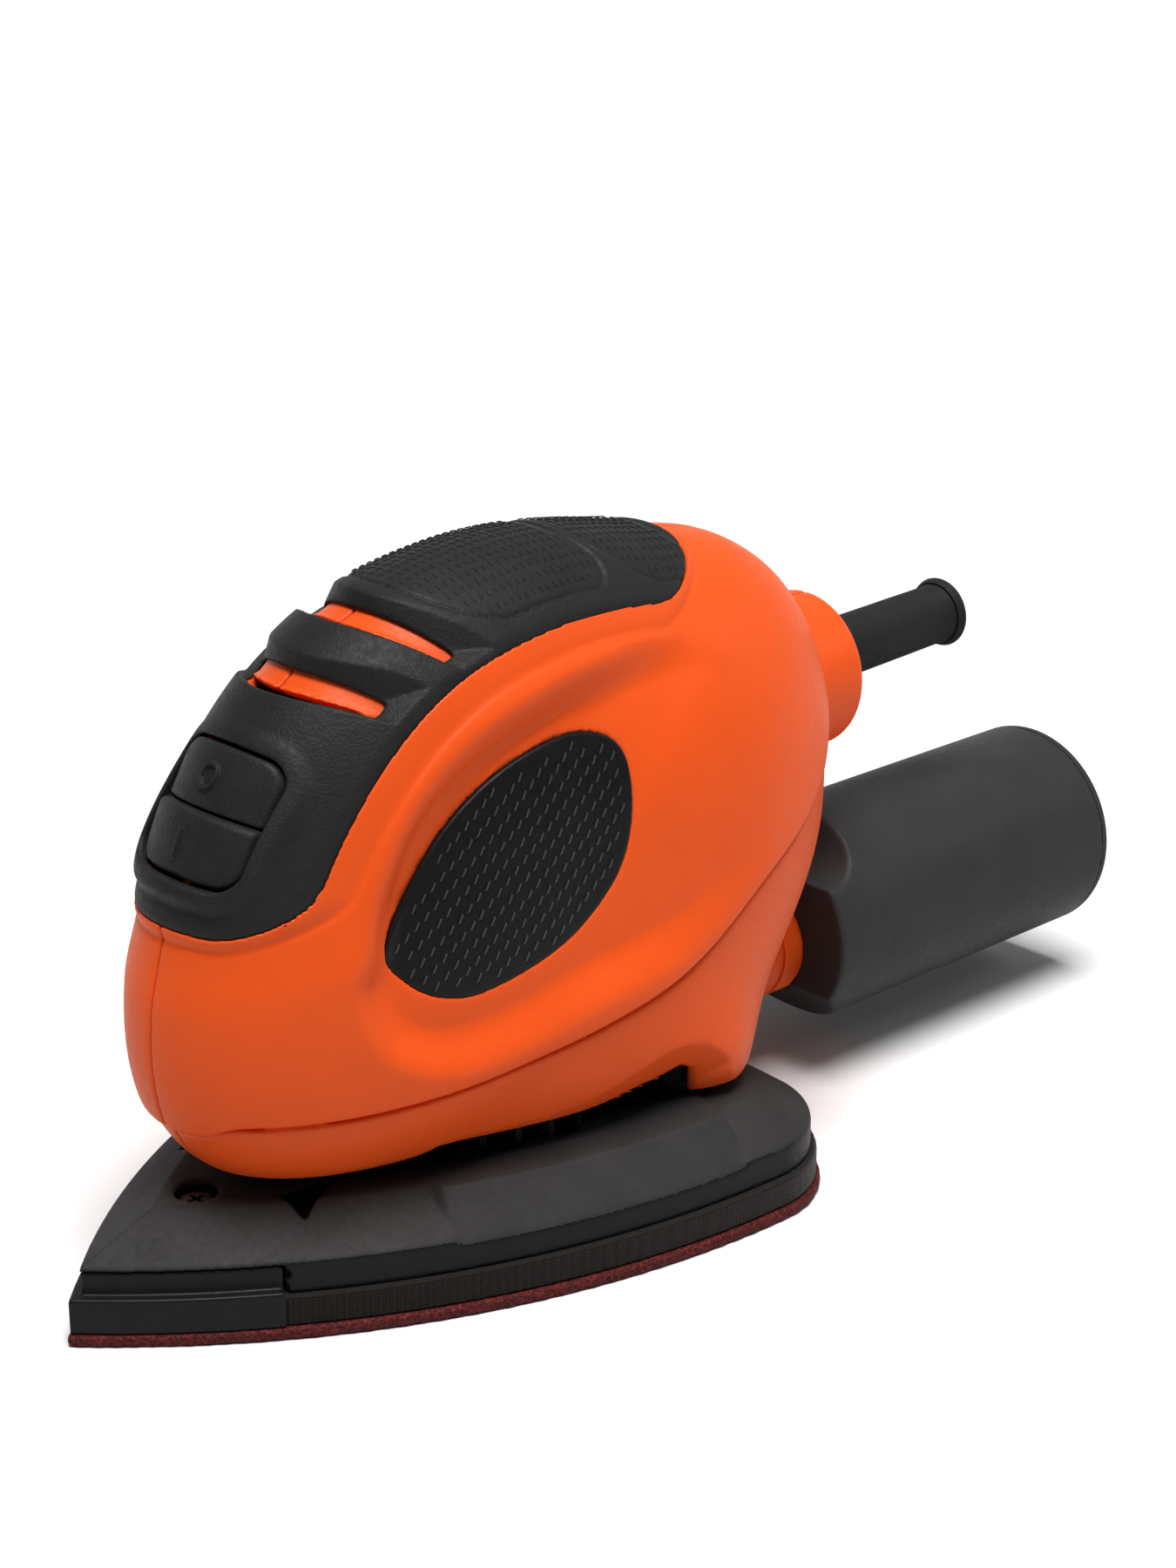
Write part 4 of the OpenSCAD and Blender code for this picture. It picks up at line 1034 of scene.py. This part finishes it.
def make_materials():
    moulded_plastic("orange_plastic", srgb(226, 96, 33), 0.46, 0.30, 0.022, specular=0.3, vary=0.015)
    leather_plastic("soft_grip", srgb(42, 42, 43), 0.55, 0.45, 0.06)
    leather_plastic("side_grip", srgb(22, 22, 23), 0.45, 0.8, 0.03)
    # Light grey for the side grip's ribs: painted glints on ribs of the same black soft grip
    moulded_plastic("rib_painted_glint", srgb(74, 74, 76), 0.34, 0.4, 0.008)
    # Near-black smooth plastic, also used as painted shade on the platen's rim wall and on the fan parts
    # under the housing
    moulded_plastic("smooth_black_and_shade", srgb(28, 28, 29), 0.45, 0.25, 0.008, specular=0.3)
    moulded_plastic("dark_plastic", srgb(62, 62, 63), 0.52, 0.35, 0.008, specular=0.22)
    moulded_plastic("platen_plastic", srgb(60, 59, 59), 0.66, 0.42, 0.05, specular=0.25, vary=0.10)
    moulded_plastic("black_rubber", srgb(42, 42, 43), 0.68, 0.45, 0.03, specular=0.3)
    woven_cloth("pad_weave", srgb(33, 29, 26), 0.55, 0.16)
    abrasive_grit("abrasive", srgb(86, 26, 25), 0.55, 0.22)
    metal("steel", (0.62, 0.62, 0.64), 0.28)
    metal("zinc_steel", (0.55, 0.55, 0.56), 0.36, 1.2)
    metal("magnet", (0.16, 0.16, 0.17), 0.5, 0.8)
    metal("copper", (0.75, 0.32, 0.15), 0.3, brushed="Z")
    metal("brass", (0.70, 0.50, 0.20), 0.32)
    moulded_plastic("carbon", (0.02, 0.02, 0.022), 0.5, 0.2, 0.02, vary=0.3)
    moulded_plastic("insulator", srgb(225, 218, 196), 0.45, 0.4, 0.01)
    glass_fibre_board("board", srgb(30, 92, 52))
    moulded_plastic("film", srgb(190, 150, 40), 0.35, 0.8, 0.01)
    pressed_paper("filter_paper", srgb(226, 220, 202))


def finish(piece, slot, body, *nodes, look=None):
    """Gives a piece its material, from its look or else its record slot, its body, and hides the nodes that
    it stands for.
    """
    piece.data.materials.clear()
    piece.data.materials.append(MATERIALS[look or slot])
    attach(piece, body)
    if nodes:
        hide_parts(*nodes)
    return piece


# ---------- The pieces ----------

def build_housing():
    left, right = make_housing()
    finish(left, "orange_plastic", "housing", "housing_left")
    finish(right, "orange_plastic", "housing", "housing_right")


def build_cap():
    g = Grid((-68, -23, 58), (50, 23, 121), 0.32)
    cap = finish(field_piece("top_cap", g, cap_field(g), 0.6, 2), "soft_grip", "housing", "top_grip")
    finish(cap_studs(cap), "soft_grip", "housing")


def build_grips():
    g = Grid((-41, -46, 50), (16, -20, 94), 0.3)
    field = grip_field(g)
    for side, name in ((-1, "left"), (1, "right")):
        grip = field_piece("side_grip_" + name, g, field, 0.5, mirror=side > 0)
        finish(grip, "soft_grip", "housing", "grip_insert_" + name, look="side_grip")
        # The ribs get a lighter grey look as painted glints
        finish(grip_studs(grip, side), "soft_grip", "housing", look="rib_painted_glint")


def build_switch():
    g = Grid((-64, -14, 62), (-36, 14, 96), 0.22)
    finish(field_piece("rocker_switch", g, rocker_field(g)), "soft_grip", "rocker", "switch_rocker")


def build_base():
    g = Grid((-85, -50, 7), (56, 50, 20), 0.42)
    platen = field_piece("platen_moulding", g, platen_field(g), 0.6, 2)
    finish(platen, "platen_plastic", "sanding_platen", "platen")
    # The platen's rim wall gets near-black painted shade
    paint_rim_shade(platen)
    g = Grid((-87, -51.5, -0.5), (57, 51.5, 9), 0.45)
    finish(field_piece("hook_and_loop_pad", g, pad_field(g), 0.5), "pad_weave", "sanding_platen", "hook_pad")
    sheet = field_piece("sanding_paper", g, sheet_field(g), 0.6)
    finish(sheet, "abrasive", "sanding_platen", "sanding_sheet")
    g = Grid((-87, -24, 1.5), (-44, 24, 14), 0.3)
    tip = field_piece("diamond_tip", g, tip_field(g), 0.5)
    finish(tip, "black_rubber", "sanding_platen", "tip_block", look="smooth_black_and_shade")
    # The zinc steel screw sits deep in its hole and gets the dark magnet look as painted shade
    finish(make_tip_screw(), "zinc_steel", "sanding_platen", "tip_screw", look="magnet")


def build_dust_parts():
    g = Grid((75, -22, 6), (158.5, 22, 51), 0.42)
    canister = field_piece("dust_canister_body", g, canister_field(g), 0.5)
    finish(canister, "dark_plastic", "canister", "dust_canister")
    finish(make_lid(), "dark_plastic", "canister_lid", "canister_cap")
    g = Grid((34, -12, 13.5), (86, 12, 38), 0.3)
    finish(field_piece("dust_port_tube", g, port_field(g), 0.5), "orange_plastic", "housing", "dust_port")
    finish(make_sleeve(), "black_rubber", "housing", "cord_sleeve")


# Parts that show only in the gap under the housing get a near-black look, painted shade for the shadow they
# sit in
SHADE_PAINTED_NODES = ["dust_fan", "fan_shroud"]


def dress_cad_nodes():
    """Every CAD node that still shows gets the material of its slot; the fan parts under the housing get
    near-black painted shade instead.
    """
    slots = {entry["node"]: entry["material_slot"] for entry in frame["record"]["subparts"]}
    for name, node in frame["nodes"].items():
        look = "smooth_black_and_shade" if name in SHADE_PAINTED_NODES else slots.get(name, "dark_plastic")
        material = MATERIALS[look]
        for held in node.material_slots:
            held.material = material
        if not node.material_slots:
            node.data.materials.append(material)


# ---------- Studio ----------

def make_floor():
    """A pale sweep: flat under the sander, curving up into a backdrop far behind it."""
    front, flat, bend, tall, half, step = 4.0, 3.0, 1.5, 4.0, 7.0, 0.5
    profile = [(step * k - front, 0.0) for k in range(int((front + flat) / step) + 1)]
    profile += [(flat + bend * math.sin(t), bend - bend * math.cos(t))
                for t in np.linspace(0, math.pi / 2, 17)[1:]]
    profile += [(flat + bend, bend + tall)]
    turn = Matrix.Rotation(math.radians(CAMERA_TURN), 4, "Z")
    mesh = bmesh.new()
    rows = [[mesh.verts.new(turn @ Vector((side * half, depth, height))) for side in (-1, 0, 1)]
            for depth, height in profile]
    for near, far in zip(rows, rows[1:]):
        for k in (0, 1):
            mesh.faces.new((near[k], near[k + 1], far[k + 1], far[k]))
    data = bpy.data.meshes.new("studio_floor")
    mesh.to_mesh(data)
    mesh.free()
    data.shade_smooth()
    floor = add_object("studio_floor", data)
    s = Surface("pale_floor", specular=0.1)
    s.colour(s.noise(180, 2), [(0.3, (0.75, 0.75, 0.75)), (0.7, (0.77, 0.77, 0.77))])
    s.roughness(s.noise(60), 0.8, 0.9)
    floor.data.materials.append(s.material)


def add_lamp(light, place, direction):
    lamp = add_object(light.name, light)
    lamp.location = place
    lamp.rotation_euler = direction.to_track_quat("-Z", "Y").to_euler()


def make_lights():
    """A wide soft light from above and a small one from the right."""
    key = bpy.data.lights.new("overhead_key", "SUN")
    key.energy = 4.1
    key.angle = math.radians(32)
    add_lamp(key, (0, 0, 0), Vector((0.10, 0.19, -0.98)))
    side = bpy.data.lights.new("side_softbox", "AREA")
    side.shape = "DISK"
    side.size = 0.4
    side.energy = 1.1
    place = Vector((0.76, -0.51, 0.58))
    add_lamp(side, place, Vector((0.10, 0, 0.04)) - place)


def make_air():
    """The air lights the sander a little, and shows as pale as the floor where the floor ends."""
    world = bpy.data.worlds.new("studio")
    bpy.context.scene.world = world
    world.use_nodes = True
    nodes, links = world.node_tree.nodes, world.node_tree.links
    nodes["Background"].inputs["Color"].default_value = (1, 1, 1, 1)
    strength = nodes.new("ShaderNodeMath")
    strength.operation = "MULTIPLY_ADD"
    strength.inputs[1].default_value = 0.9
    strength.inputs[2].default_value = 0.12
    links.new(nodes.new("ShaderNodeLightPath").outputs["Is Camera Ray"], strength.inputs[0])
    links.new(strength.outputs[0], nodes["Background"].inputs["Strength"])


def make_camera():
    data = bpy.data.cameras.new("camera")
    data.lens = 67.716
    data.sensor_width = 36
    data.shift_y = 0.0087
    look_down = 20.009
    camera = add_object("camera", data)
    camera.location = (-0.31251, -0.36327, 0.24807)
    camera.rotation_euler = (math.radians(90 - look_down), 0, math.radians(CAMERA_TURN))
    bpy.context.scene.camera = camera


make_materials()
dress_cad_nodes()
build_housing()
build_cap()
build_grips()
build_switch()
build_base()
build_dust_parts()
make_floor()
make_lights()
make_air()
make_camera()
bpy.context.scene.view_settings.view_transform = "Standard"
bpy.context.scene.view_settings.gamma = 0.82
